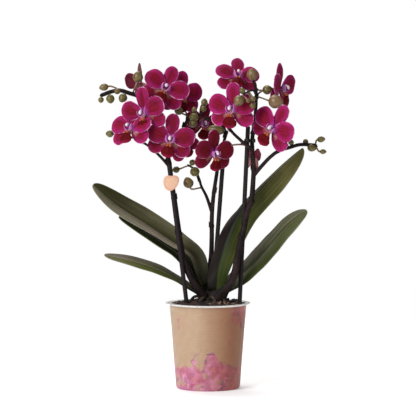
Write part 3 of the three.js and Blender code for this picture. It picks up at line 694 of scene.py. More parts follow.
def make_cup():
    foot, rim = CUP_BASE_RADIUS - CUP_HEEL, CUP_HEIGHT - RIM_BAND
    under = [(AXIS, FOOT_RECESS), (foot - 3, FOOT_RECESS), (foot - 2.2, 0.1)]
    side = [(lerp(CUP_BASE_RADIUS, CUP_TOP_RADIUS, share), lerp(CUP_HEEL, rim, share))
            for share in shares(12)[1:]]
    bead = quarter((CUP_TOP_RADIUS - 0.05, CUP_HEIGHT - RIM_ROUND), RIM_ROUND, -40, 90)
    inside = quarter((CUP_TOP_RADIUS - CUP_WALL + RIM_ROUND, CUP_HEIGHT - RIM_ROUND), RIM_ROUND, 90, 180, 4)
    inside += [(cup_bore(CUP_FLOOR), CUP_FLOOR), (AXIS, CUP_FLOOR)]
    outer = under + quarter((foot, CUP_HEEL), CUP_HEEL, -90, 0, 8) + side
    wrapped = range(len(under) - 1, len(outer) - 1)
    skin = Skin()
    skin.lathe(outer + bead + inside, ROUND_SIDES, lambda step: 0 if step in wrapped else 1)
    skin.piece("cup_wrap_and_rim", [printed_wrap(), white_plastic()], "cup", "cup")


def make_grow_pot():
    foot, flange = CUP_FLOOR + LINER_GAP, CUP_HEIGHT + LINER_GAP
    low, top = foot + LINER_WALL, flange + FLANGE_THICKNESS
    half = FLANGE_THICKNESS / 2
    wall = [(AXIS, foot), (cup_bore(foot) - LINER_GAP, foot), (cup_bore(flange) - LINER_GAP, flange)]
    lip = quarter((FLANGE_RADIUS - half, flange + half), half, -90, 90)
    bore = cup_bore(top) - LINER_GAP - LINER_WALL
    inside = quarter((bore + LINER_ROUND, top - LINER_ROUND), LINER_ROUND, 90, 180, 4)
    inside += [(cup_bore(low) - LINER_GAP - LINER_WALL, low), (AXIS, low)]
    skin = Skin()
    skin.lathe(wall + lip + inside, ROUND_SIDES)
    skin.piece("clear_grow_pot", [clear_plastic()], "grow_pot", "grow_pot")


# The stakes, with where each leaves the bark and where it ends

STAKES = {
    "left": ((-22.6, -14, 92), (-41, -12.5, 238)),
    "middle": ((5, 28, 92), (17.5, 6, 262)),
    "right": ((33.6, -5, 92), (42.3, -6, 279)),
}
STAKE_RADIUS = 2.35
STAKE_DEPTH = 42
STAKE_TIP = 1.6
STAKE_SIDES = 32
# One point in four of the stake's outline lies in a groove
STAKE_GROOVE = 0.97


def on_stake(side, z):
    foot, tip = (Vector(p) for p in STAKES[side])
    return foot.lerp(tip, (z - foot.z) / (tip.z - foot.z))


def make_stakes():
    plastic = stake_plastic()
    for side, (foot, tip) in STAKES.items():
        line = Line([on_stake(side, foot[2] - STAKE_DEPTH), on_stake(side, tip[2])])
        along = line.along(0.5)
        one = along.orthogonal().normalized()
        two = along.cross(one)
        rows = []
        for share in [s * 0.985 for s in shares(20)] + [0.988, 0.992, 0.996, 1.0]:
            left = (1 - share) * line.length
            round_off = 1 if left > STAKE_TIP else math.sqrt(max(0.02, 1 - (1 - left / STAKE_TIP) ** 2))
            row = []
            for i, angle in enumerate(turns(STAKE_SIDES)):
                r = STAKE_RADIUS * round_off * (STAKE_GROOVE if i % 4 == 0 else 1.0)
                row.append((swung(line.at(share), one, two, angle, r), (share, 0, 0)))
            rows.append(row)
        skin = Skin()
        skin.rings(rows)
        skin.piece("support_stake_" + side, [plastic], "stake", "stake_" + side)


# The bark mix: a heap with loose chips on it, clear of the crown, the stakes and the grow pot's wall

BARK_EDGE_HEIGHT = 89.2
BARK_HEAP = [(0, 92.3), (18, 91.6), (30, 90), (38.6, BARK_EDGE_HEIGHT)]
BARK_GAP = 1.4
BARK_SEED = 7
CHIPS = 340
CHIP_FIELD = 37.5
CHIP_LIMIT = 39
CROWN_CLEAR = 7
STAKE_CLEAR = 3.2
CHIP_LENGTHS = (4.5, 12)
CHIP_HEIGHTS = (2.0, 4.0)
CHIP_TONES = [0.04, 0.12, 0.18, 0.26, 0.36, 0.46]
WHOLE_CHIPS = 0.94
SPLIT_TONE = 0.66
PEBBLES = 16
PEBBLE_SIZES = (1.8, 3.2)
PEBBLE_TONES = (0.62, 0.85)


def heap(r):
    return stepped(BARK_HEAP, r)


def add_chip(skin, draw, centre, size, tone):
    """One flake of bark: a lump of few faces, flattened along its layers and broken at its ends."""
    made = bmesh.new()
    bmesh.ops.create_icosphere(made, subdivisions=2, radius=1.0)
    turn = Matrix.Rotation(draw.uniform(0, 2 * math.pi), 4, "Z")
    turn = turn @ Matrix.Rotation(draw.gauss(0, 0.25), 4, "X") @ Matrix.Rotation(draw.gauss(0, 0.25), 4, "Y")
    seed = draw.uniform(0, 99)
    spots = []
    for vertex in made.verts:
        p = vertex.co
        blocky = max(abs(p.x), abs(p.y), abs(p.z) * 0.9)
        p = p * lerp(1.0, 1 / blocky, 0.65)
        p = p * (1 + 0.28 * ripple(p, 0.9, seed))
        p = Vector([reach * whole / 2 for reach, whole in zip(p, size)])
        spots.append((turn @ p + centre, PLAIN))
    skin.add(spots, [[v.index for v in face.verts] for face in made.faces], (tone, 0, 0))
    made.free()


def make_bark():
    draw = random.Random(BARK_SEED)
    foot = CUP_FLOOR + 2 * LINER_GAP + LINER_WALL
    low, high = cup_bore(foot) - BARK_GAP, cup_bore(BARK_EDGE_HEIGHT) - BARK_GAP
    profile = [(AXIS, foot), (low, foot), (high, BARK_EDGE_HEIGHT - 1.5)]
    profile += [(high * (1 - share) + AXIS, heap(high * (1 - share))) for share in shares(26)[1:]]
    skin = Skin()
    skin.lathe(profile, 96, kind=(0.15, 0, 0))
    for i, p in enumerate(skin.points):
        if p.z > BARK_EDGE_HEIGHT - 1:
            skin.points[i] = p + UP * (1.1 * ripple(p, 4, 1) - 0.6)
    standing = [on_stake(side, 93) for side in STAKES]
    placed = 0
    while placed < CHIPS:
        r = CHIP_FIELD * math.sqrt(draw.random())
        angle = draw.uniform(0, 2 * math.pi)
        centre = Vector((r * math.cos(angle), r * math.sin(angle), heap(r) + draw.uniform(-1.3, 0.5)))
        long = draw.uniform(*CHIP_LENGTHS)
        size = (long, long * draw.uniform(0.4, 0.8), draw.uniform(*CHIP_HEIGHTS))
        tone = draw.choice(CHIP_TONES) if draw.random() < WHOLE_CHIPS else SPLIT_TONE
        close = min((centre - s).length for s in standing)
        if r >= CROWN_CLEAR and close >= STAKE_CLEAR and r + long * 0.4 <= CHIP_LIMIT:
            placed += 1
            add_chip(skin, draw, centre, size, tone)
    # Pale grit lies in front of the crown
    for _ in range(PEBBLES):
        centre = Vector((draw.uniform(0, 21), draw.uniform(-26, -12), 0))
        centre.z = heap(centre.xy.length) + draw.uniform(0.6, 1.6)
        across = draw.uniform(*PEBBLE_SIZES)
        add_chip(skin, draw, centre, (across, across * 0.85, across * 0.8), draw.uniform(*PEBBLE_TONES))
    skin.piece("pine_bark_mix", [bark_chip()], "bark", "bark_mix", smooth=False)


# The crown, with its aerial roots

CROWN_SHAPE = [(72, 4.6), (86, 8.0), (94, 8.8), (99, 7.2), (102, 4.4), (104, 0.6)]
CROWN_FLATTENING = 0.82
# An old leaf base, dark and dry, that wraps the foot of the right spike: places and half widths
OLD_BASE = [((8, -5, 86), 8), ((11.5, -7, 95), 9), ((17, -10, 104), 6.6), ((23.5, -12.5, 112), 4.6),
            ((27, -13.5, 119), 3.8)]
OLD_BASE_FLATTENING = 0.75
ROOTS = [
    [(2, -6, 97), (5, -13, 97.5), (8, -18, 92), (9, -20, 84)],
    [(-3, -6, 96), (-6, -12, 96.5), (-10, -16, 91), (-11, -17, 84)],
    [(6, -4, 98), (13, -9, 98), (19, -13, 92), (21, -14, 84)],
    [(-6, 0, 97), (-14, -2, 97.5), (-19, -3, 92), (-21, -3, 84)],
]
ROOT_RADIUS = 1.6


def make_crown():
    skin = Skin()
    rows = []
    for share in shares(30):
        z = lerp(CROWN_SHAPE[0][0], CROWN_SHAPE[-1][0], share)
        row = []
        for i, angle in enumerate(turns(40)):
            # The overlapping edges of old leaf bases climb round the crown in steps
            step = (z / 9 + i / 40 * 2) % 1
            r = stepped(CROWN_SHAPE, z) * (1.02 - 0.08 * step)
            point = Vector((r * math.cos(angle), r * CROWN_FLATTENING * math.sin(angle), z))
            row.append((point, (share, 0, 0)))
        rows.append(row)
    skin.rings(rows)
    half = [(share, width) for share, (_, width) in zip(shares(len(OLD_BASE) - 1), OLD_BASE)]
    skin.tube(Line([place for place, _ in OLD_BASE]), lambda share: stepped(half, share), 32, 24, finish=2,
              squash=OLD_BASE_FLATTENING)
    for number, points in enumerate(ROOTS):
        swell = lambda share, n=number: ROOT_RADIUS * (1 + 0.12 * ripple((share * 30, n * 9, 0), 6))
        skin.tube(Line(points), swell, 14, 22, finish=1)
    skin.piece("crown_and_roots", [crown_skin(), root_skin(), old_leaf_base()], "crown", "crown")


# The leaves
# rib: points along the middle of the blade. far and near: the angles above the level, in degrees, at
# which its two halves leave the rib at the root, the middle and the tip. base: its width at the root.

# The leaf colours hold painted light. The grey of leaf 1's near half and far margin, of the upper halves'
# margins and tips on leaves 3 and 5, and of leaf 4's tip is a painted sheen. Leaf 2's dark colours and the
# near black of leaf 4's far half, over a real purple flush at its foot, are painted shade. Each rib line is
# painted shade where it is dark and a painted highlight where it is pale.
LEAVES = [
    {
        "rib": [(-4, 3, 110), (-14.5, 9, 139), (-35.5, 12.5, 153.5), (-61, 16, 170.5), (-99, 21, 195),
                (-123, 22, 215.5)],
        "width": 31, "base": 0.42, "far": (62, 72, 70), "near": (0, -16, -40),
        "skin": ("leaf_cuticle_olive_painted_sheen", ("#3f3c0e", "#6b6750", "#363611", "#1c1a0a"),
                 ("#8c8274", "#948a7c", "#7a7562", "#2c2a16"), "#38222a", "#26260f"),
    },
    {
        "rib": [(-4, 2, 98), (-14, 5, 119), (-31, 8, 141), (-46, 10, 152), (-64, 12, 163.5), (-95, 15, 182)],
        "width": 28, "base": 0.5, "far": (52, 22, 20), "near": (-5, -15, -18),
        "skin": ("leaf_cuticle_dark_painted_shade", ("#272c13", "#272c13", "#2b3012", "#1e2010"),
                 ("#34342a", "#242b0f", "#303c12", "#1e2110"), "#38222a", "#6e6a5e"),
    },
    {
        "rib": [(-4, 0, 95), (-13, 0, 102.5), (-28, -1, 112.8), (-46, -5, 123.5), (-72, -10, 134),
                (-109.5, -15, 143)],
        "width": 26, "base": 0.3, "far": (30, 24, 20), "near": (-10, -22, -25),
        "skin": ("leaf_cuticle_green_painted_sheen", ("#5a5d36", "#7e776e", "#7b7166", "#2a2e16"),
                 ("#575c32", "#525e10", "#6a6838", "#2c3414"), "#38222a", "#86866a"),
    },
    {
        "rib": [(8.5, -3, 104.5), (10.5, -2, 127), (19, 0, 155), (34, 6, 187), (57, 16, 213),
                (82.5, 24, 237.5), (101.5, 29, 254.5)],
        "width": 40, "base": 0.42, "far": (48, -12, -5), "near": (-62, -84, -58),
        "skin": ("leaf_cuticle_painted_shade_half", ("#0c0905", "#281a1b", "#66613a", "#1e1812"),
                 ("#263206", "#555c24", "#6e693c", "#3c4a18"), "#2c1a20", "#0a0805"),
    },
    {
        "rib": [(5, 0, 97), (20, 5, 108), (37, 9, 121), (52, 8, 135.5), (67, 5, 153), (83, 1, 172.5),
                (95, -1, 183), (105, -2, 189)],
        "width": 34, "base": 0.3, "far": (25, 42, 36), "near": (-28, -43, -52),
        "skin": ("leaf_cuticle_painted_sheen_edge", ("#404630", "#7c7569", "#6a6a54", "#2a3018"),
                 ("#5f5e48", "#364210", "#5c613c", "#2c3414"), "#38222a", "#24280f"),
    },
]
LEAF_ROWS = 60
LEAF_ACROSS = widths(32)
LEAF_EDGE = 0.35
LEAF_MIDDLE = 1.3
LEAF_RIB = 2.1
LEAF_ARCH = 0.07
LEAF_WAVE = 0.7
LEAF_WAVE_LENGTH = 22
LEAF_WIDEST = 0.52
LEAF_BLUNT = 2.4
FOLD_ROUND = 0.1
SHEATH_ROWS = 12
SHEATH_FOOT = 88
SHEATH_SHAPE = [(86, 8.9), (97, 10.0), (107, 8.8), (120, 6.5)]
SHEATH_CLASP = math.radians(100)
SHEATH_THICKNESS = 0.9
# The sheath's edge mark, in millimetres: far from any margin
INNER = 5.0


def three_way(angles, t):
    root, middle, tip = (math.radians(a) for a in angles)
    return lerp(root, middle, t * 2) if t < 0.5 else lerp(middle, tip, t * 2 - 1)


def leaf_row(leaf, line, t, seed):
    """The points of one cross-section, from the near margin to the far one, with the way its face looks."""
    centre, along = line.at(t), line.along(t)
    side = along.cross(UP).normalized()
    if side.y < 0:
        side.negate()
    up = side.cross(along).normalized()
    if up.z < 0:
        up.negate()
    far_angle, near_angle = three_way(leaf["far"], t), three_way(leaf["near"], t)
    far = side * math.cos(far_angle) + up * math.sin(far_angle)
    near = side * -math.cos(near_angle) + up * math.sin(near_angle)
    normal = (far - near).cross(along).normalized()
    if normal.dot(up) < 0:
        normal.negate()
    half = leaf["width"] / 2 * spread(t, leaf["base"], LEAF_WIDEST, LEAF_BLUNT)
    row = []
    for v in LEAF_ACROSS:
        reach = abs(v)
        if reach < FOLD_ROUND:
            # The fold at the rib is a small round groove
            w = (v / FOLD_ROUND + 1) / 2
            p = (near * (1 - w) ** 2 + far * w**2) * FOLD_ROUND
        else:
            p = (far if v > 0 else near) * reach
        wave = LEAF_WAVE * ripple((t * line.length, v * 9, 0), LEAF_WAVE_LENGTH, seed) * reach**2
        row.append(centre + p * half + normal * (half * LEAF_ARCH * math.sin(math.pi * reach) + wave))
    return row, normal, half


def sheath_row(line, rise, root_row, root_normal):
    """The leaf's foot, which clasps the crown: a half ring low down that opens into the blade."""
    z = lerp(SHEATH_FOOT, line.at(0).z, rise)
    way = Vector((line.at(0.12).x, line.at(0.12).y, 0)).normalized()
    far_side = Vector((-way.y, way.x, 0))
    if far_side.y < 0:
        far_side.negate()
    blend = ease(0.3, 1.0, rise)
    r = stepped(SHEATH_SHAPE, z)
    row = []
    for v, root in zip(LEAF_ACROSS, root_row):
        angle = v * SHEATH_CLASP
        out = way * math.cos(angle) + far_side * math.sin(angle)
        p = Vector((out.x * r, out.y * r * 0.9, z)).lerp(root, blend)
        normal = (-out).lerp(root_normal, blend).normalized()
        row.append((p, p - normal * SHEATH_THICKNESS, (0.0, v, INNER)))
    return row


def make_leaf(number, leaf):
    line = Line(leaf["rib"])
    root_row, root_normal, _ = leaf_row(leaf, line, 0, number)
    rows = [sheath_row(line, r / SHEATH_ROWS, root_row, root_normal) for r in range(SHEATH_ROWS)]
    for t in towards_tip(LEAF_ROWS, 0.9995):
        points, normal, half = leaf_row(leaf, line, t, number)
        thin = ease(1.0, 0.86, t)
        row = []
        for v, p in zip(LEAF_ACROSS, points):
            reach = abs(v)
            thick = lerp(lerp(LEAF_RIB, LEAF_MIDDLE, ease(0, 0.25, reach)), LEAF_EDGE, ease(0.6, 1, reach))
            edge = min(half * (1 - reach), (1 - t) * line.length * 0.8)
            row.append((p, p - normal * lerp(LEAF_EDGE, thick, thin), (t, v, edge)))
        rows.append(row)
    skin = Skin()
    skin.blade(rows)
    # The back face's points carry 1 in the kind mark
    count = len(skin.points) // 2
    skin.kinds = [PLAIN] * count + [(1, 0, 0)] * count
    skin.piece(f"leaf_blade_{number}", [leaf_cuticle(*leaf["skin"])], "leaf", f"leaf_{number}")


# The flowers
# at: the heart of the flower; yaw turns it to the right, pitch up, roll clockwise, all in degrees as
# seen from the front; cup closes its petals forward, and past CLOSED_CUP hides its lip and column;
# tone runs from crimson to magenta, and on some flowers that stand in shade it is set higher as painted
# light. start is near where its stalk leaves the spike, or drop is how far below the flower that is.

FLOWERS = {
    "left": [
        {"at": (-72, 8, 323), "width": 39, "yaw": -109, "cup": 30},
        {"at": (-45, -16, 318), "width": 48, "yaw": 6, "pitch": 16, "roll": 26, "tone": 0.8},
        {"at": (-29, 5, 311), "width": 46, "yaw": 20, "roll": 5, "tone": 0.95},
        {"at": (-66.8, -35, 293), "width": 48, "yaw": -24, "pitch": -6, "roll": -8},
        {"at": (-80.4, -34, 276), "width": 47, "yaw": -33, "pitch": 24, "roll": -4, "tone": 0.95},
        {"at": (-39.2, -37, 265.5), "width": 48, "yaw": -5, "roll": 9, "tone": 0.45},
        {"at": (-27.3, -15, 259), "width": 36, "yaw": 5, "pitch": -10, "roll": -40},
    ],
    "middle": [
        {"at": (-5.5, 25, 280), "width": 42, "yaw": 25, "roll": 10, "tone": 0.3, "drop": 10},
    ],
    "right": [
        {"at": (6, -22, 250), "width": 45, "yaw": 30, "pitch": -5, "roll": 1, "tone": 0.05,
         "start": (42, -12, 257)},
        {"at": (25.2, -30, 296.5), "width": 50, "yaw": -20, "roll": 2, "tone": 0.9},
        {"at": (31, 0, 330.5), "width": 46, "yaw": 10, "pitch": 38, "roll": 8, "tone": 0.7, "drop": 22},
        {"at": (76.7, 3, 318), "width": 48, "yaw": 62, "cup": 8, "tone": 0.9},
        {"at": (68, -29, 276.5), "width": 50, "yaw": -30, "roll": 33, "tone": 0.95},
        {"at": (47.5, 20, 244.5), "width": 31, "yaw": 118},
    ],
}
FLOWER_WIDTH = 48
CLOSED_CUP = 20
HUB_BACK = 4.5
BLADE_ROOT = 1.7

# lateral and sepal are marks for the materials: the two lower sepals, and all three
SEPAL = {"layer": 1.5, "bow": 0.9, "closes": 0.15, "root": 0.4, "widest": 0.62, "blunt": 2.1, "sepal": 1}
PETAL = {"layer": -0.6, "bow": 1.9, "closes": 1, "root": 0.24, "widest": 0.56, "blunt": 2.3, "sepal": 0}
BLADES = [
    {**SEPAL, "angle": 90, "length": 27.4, "width": 15, "lateral": 0},
    {**SEPAL, "angle": -33, "length": 25.4, "width": 17, "lateral": 1},
    {**SEPAL, "angle": 213, "length": 25.4, "width": 17, "lateral": 1},
    {**PETAL, "angle": 18, "length": 25.9, "width": 21, "lateral": 0},
    {**PETAL, "angle": 162, "length": 25.9, "width": 21, "lateral": 0},
]
BLADE_STATIONS = towards_tip(24, 0.999)
# Columns stand closer together near the two margins
BLADE_ACROSS = [math.sin(math.pi / 2 * v) * 0.6 + v * 0.4 for v in widths(16)]
PETAL_MIDDLE = 0.8
PETAL_EDGE = 0.28
PETAL_TURNBACK = 0.11
PETAL_GROOVE = 0.4
PETAL_UNEVEN = 0.18
PETAL_TONE = 0.6


def blade_half(blade, t):
    """Half the width of a sepal or petal along its length."""
    return blade["width"] / 2 * spread(t, blade["root"], blade["widest"], blade["blunt"], 0.9)


def edge_distances(blade):
    """How far each grid point of a flat blade is from its margin, in millimetres."""
    reach = blade["length"] - BLADE_ROOT
    rim = [(reach * t, side * blade_half(blade, t)) for t in towards_tip(59, 1, 1.6) for side in (1, -1)]
    table = []
    for t in BLADE_STATIONS:
        half = blade_half(blade, t)
        table.append([min(math.hypot(reach * t - a, half * v - b) for a, b in rim) for v in BLADE_ACROSS])
    return table


for blade in BLADES:
    blade["edges"] = edge_distances(blade)


def add_petal(skin, blade, cup, tone, draw, number):
    """One sepal or petal: bowed forward, its margins turned back in a slow wave, with a groove along it."""
    turn = math.radians(blade["angle"] + draw.uniform(-2.5, 2.5))
    close = math.radians(cup * blade["closes"] + draw.uniform(-2, 2))
    across = Vector((-math.sin(turn), 0, math.cos(turn)))
    reach = Vector((math.cos(turn) * math.cos(close), -math.sin(close), math.sin(turn) * math.cos(close)))
    face = reach.cross(across).normalized()
    if face.y > 0:
        face.negate()
    long = (blade["length"] - BLADE_ROOT) * draw.uniform(0.97, 1.01)
    phase, ruffle = draw.uniform(0, 6.28), draw.uniform(0.25, 0.6)
    twist = draw.uniform(-0.05, 0.05)
    recurve = draw.uniform(0.3, 1.3)
    rows = []
    for t, edges in zip(BLADE_STATIONS, blade["edges"]):
        half = blade_half(blade, t)
        centre = Vector((0, blade["layer"], 0)) + reach * (BLADE_ROOT + long * t)
        centre += face * (blade["bow"] * math.sin(math.pi * 0.8 * t) - recurve * ease(0.7, 1.0, t))
        row = []
        for v, edge in zip(BLADE_ACROSS, edges):
            lift = -PETAL_TURNBACK * half * abs(v) ** 1.8 + twist * v * half
            lift += ruffle * math.sin(phase + 5.2 * t + 1.6 * v) * v * v * ease(0.1, 0.5, t)
            lift -= PETAL_GROOVE * math.exp(-(v / 0.1) ** 2) * (1 - 0.7 * t) * ease(0.0, 0.2, t)
            lift += PETAL_UNEVEN * ripple((t * 6, v * 4, number), 1, blade["angle"])
            thick = lerp(PETAL_MIDDLE, PETAL_EDGE, max(abs(v) ** 4, t**6))
            p = centre + across * (half * v) + face * lift
            row.append((*two_faces(p, face, thick), (t, v, edge)))
        rows.append(row)
    skin.blade(rows, (blade["lateral"], blade["sepal"], tone + draw.uniform(-0.06, 0.06)), 0, 1)


LIP_PATH = [(0, -1, -0.8), (0, -5, -4), (0, -8, -10), (0, -7.3, -19.4)]
LIP_SHAPE = [(0, 0.3), (0.3, 0.36), (0.5, 0.7), (0.7, 1.0), (0.86, 0.92), (0.95, 0.62), (1.0, 0.08)]
LIP_HALF = 7.6
LIP_RIDGE = 0.55
LIP_HOLLOW = 0.22
LIP_WAVE = 0.14
LIP_THICKNESS = (0.9, 0.3)
# The left half's side lobe and callus horn are these, mirrored
LOBE_PATH = [(0.9, -4.4, -4.2), (3.4, -5.6, -2.6), (4.9, -6.2, 0.2), (4.3, -6.6, 3.4)]
LOBE_HALF = 2.4
LOBE_LENGTH = 8
LOBE_WIDEST = 0.55
LOBE_HOLLOW = 0.22
LOBE_WAVE = 0.12
LOBE_THICKNESS = (0.6, 0.25)
HORN_PATH = [(0.7, -5.4, -5.6), (1.3, -6.9, -6.4), (1.7, -8.2, -6.7), (1.5, -9.2, -6.4)]
HORN_RADIUS = 1.45


def add_lip(skin):
    """The lip: a middle lobe that hangs like a shield, two lobes beside the column, and the callus."""
    path = Line(LIP_PATH)
    rows = []
    for t in shares(24):
        centre, along = path.at(t), path.along(t)
        face = along.cross(RIGHT).normalized()
        half = LIP_HALF * stepped(LIP_SHAPE, t, 0.5)
        row = []
        for v in widths(14):
            lift = LIP_RIDGE * math.exp(-(v / 0.16) ** 2) * ease(1.0, 0.6, t) - LIP_HOLLOW * half * v * v
            lift += LIP_WAVE * math.cos(v * 9) * ease(0.5, 0.1, abs(t - 0.6))
            thick = lerp(*LIP_THICKNESS, max(abs(v) ** 4, t**8))
            p = centre + RIGHT * (half * v) + face * lift
            edge = min(half * (1 - abs(v)), (1 - t) * path.length)
            row.append((*two_faces(p, face, thick), (t, v, edge)))
        rows.append(row)
    skin.blade(rows, finish=2)
    for s in (-1, 1):
        line = Line([(s * x, y, z) for x, y, z in LOBE_PATH])
        rows = []
        for t in shares(14):
            centre, along = line.at(t), line.along(t)
            wide = Vector((s * 0.25, 1, 0)).normalized()
            inward = along.cross(wide).normalized()
            if inward.x * s > 0:
                inward.negate()
            half = LOBE_HALF * (0.4 + 0.6 * math.sin(math.pi / 2 * min(1, t / LOBE_WIDEST)))
            half *= math.sqrt(max(0.01, 1 - max(0, (t - LOBE_WIDEST) / (1 - LOBE_WIDEST)) ** 2.2))
            row = []
            for v in widths(10):
                lift = LOBE_HOLLOW * half * v * v + LOBE_WAVE * math.sin(9 * t + 4 * v)
                p = centre + wide * (half * v) + inward * lift
                edge = min(half * (1 - abs(v)), (1 - t) * LOBE_LENGTH)
                row.append((*two_faces(p, inward, lerp(*LOBE_THICKNESS, abs(v) ** 3)), (t, v, edge)))
            rows.append(row)
        skin.blade(rows, finish=3)
        # Half of the callus: a fleshy two-horned knob where the lobes meet
        horn = Line([(s * x, y, z) for x, y, z in HORN_PATH])
        swell = lambda share: HORN_RADIUS * math.sqrt(max(0.03, 1 - share**2.5))
        skin.tube(horn, swell, 12, 9, finish=4, squash=0.85)


def add_hub(skin):
    """The back of the heart, where the blades meet and the stalk arrives."""
    line = Line([(0, HUB_BACK, 0), (0, 2.5, 0), (0, 0.5, 0), (0, -1.6, 0)])
    swell = lambda share: lerp(1.1, 3.0, ease(0.05, 0.8, share)) * math.sqrt(max(0.05, 1 - share**6))
    skin.tube(line, swell, 16, 12, (0, 0.2, 0.5), 1)


COLUMN_PATH = [(0, -1.9, 1.4), (0, -5.2, 2.7), (0, -8.2, 2.1), (0, -10.2, -0.5)]
COLUMN_SHAPE = [(0, 1.45), (0.25, 1.25), (0.5, 1.35), (0.66, 1.55), (0.8, 1.65), (0.92, 1.35), (1.0, 0.4)]
COLUMN_SIDES = 24


def make_column(name, holder):
    """The column: an arched rod with the white anther cap, set off by a fold, and the hollow below it."""
    path = Line(COLUMN_PATH)
    rows = []
    for t in towards_tip(28, 1, 1.3):
        centre, along = path.at(t), path.along(t)
        above = RIGHT.cross(along).normalized()
        if above.z < 0:
            above.negate()
        fold = 1 - 0.1 * math.exp(-((t - 0.64) / 0.03) ** 2)
        row = []
        for i, angle in enumerate(turns(COLUMN_SIDES)):
            # The stigma is a hollow on the underside, behind the cap
            below = max(0.0, -math.sin(angle)) ** 2
            r = stepped(COLUMN_SHAPE, t, 0.5) * fold
            r *= 1 - 0.42 * below * math.exp(-((t - 0.52) / 0.12) ** 2)
            row.append((holder @ swung(centre, RIGHT, above, angle, r), (t, i / COLUMN_SIDES, 0)))
        rows.append(row)
    skin = Skin()
    skin.rings(rows)
    skin.piece("column_" + name[-2:], [COLUMN_FINISH], "column", name + "_column")


def flower_place(flower):
    """Where a flower stands: from its own millimetres to the plant's."""
    yaw, pitch, roll = (math.radians(flower.get(word, 0)) for word in ("yaw", "pitch", "roll"))
    turn = Matrix.Rotation(yaw, 4, "Z") @ Matrix.Rotation(-pitch, 4, "X") @ Matrix.Rotation(roll, 4, "Y")
    return Matrix.Translation(flower["at"]) @ turn @ Matrix.Scale(flower["width"] / FLOWER_WIDTH, 4)


def make_flower(number, flower):
    name = f"flower_{number:02d}"
    draw = random.Random(number)
    holder = flower_place(flower)
    cup = flower.get("cup", 0)
    skin = Skin()
    for blade in BLADES:
        add_petal(skin, blade, cup, flower.get("tone", PETAL_TONE), draw, number)
    add_hub(skin)
    if cup < CLOSED_CUP:
        add_lip(skin)
    skin.points = [holder @ p for p in skin.points]
    skin.piece("bloom_" + name[-2:], BLOOM_FINISHES, "petal", name)
    if cup < CLOSED_CUP:
        make_column(name, holder)


# The flower spikes
# stems: points, and the radius at the root and at the end; the first rises from the crown.
# buds: place and diameter, and where they differ from the rest: how long for their width, how flushed,
# where their stalk starts and the way they point.

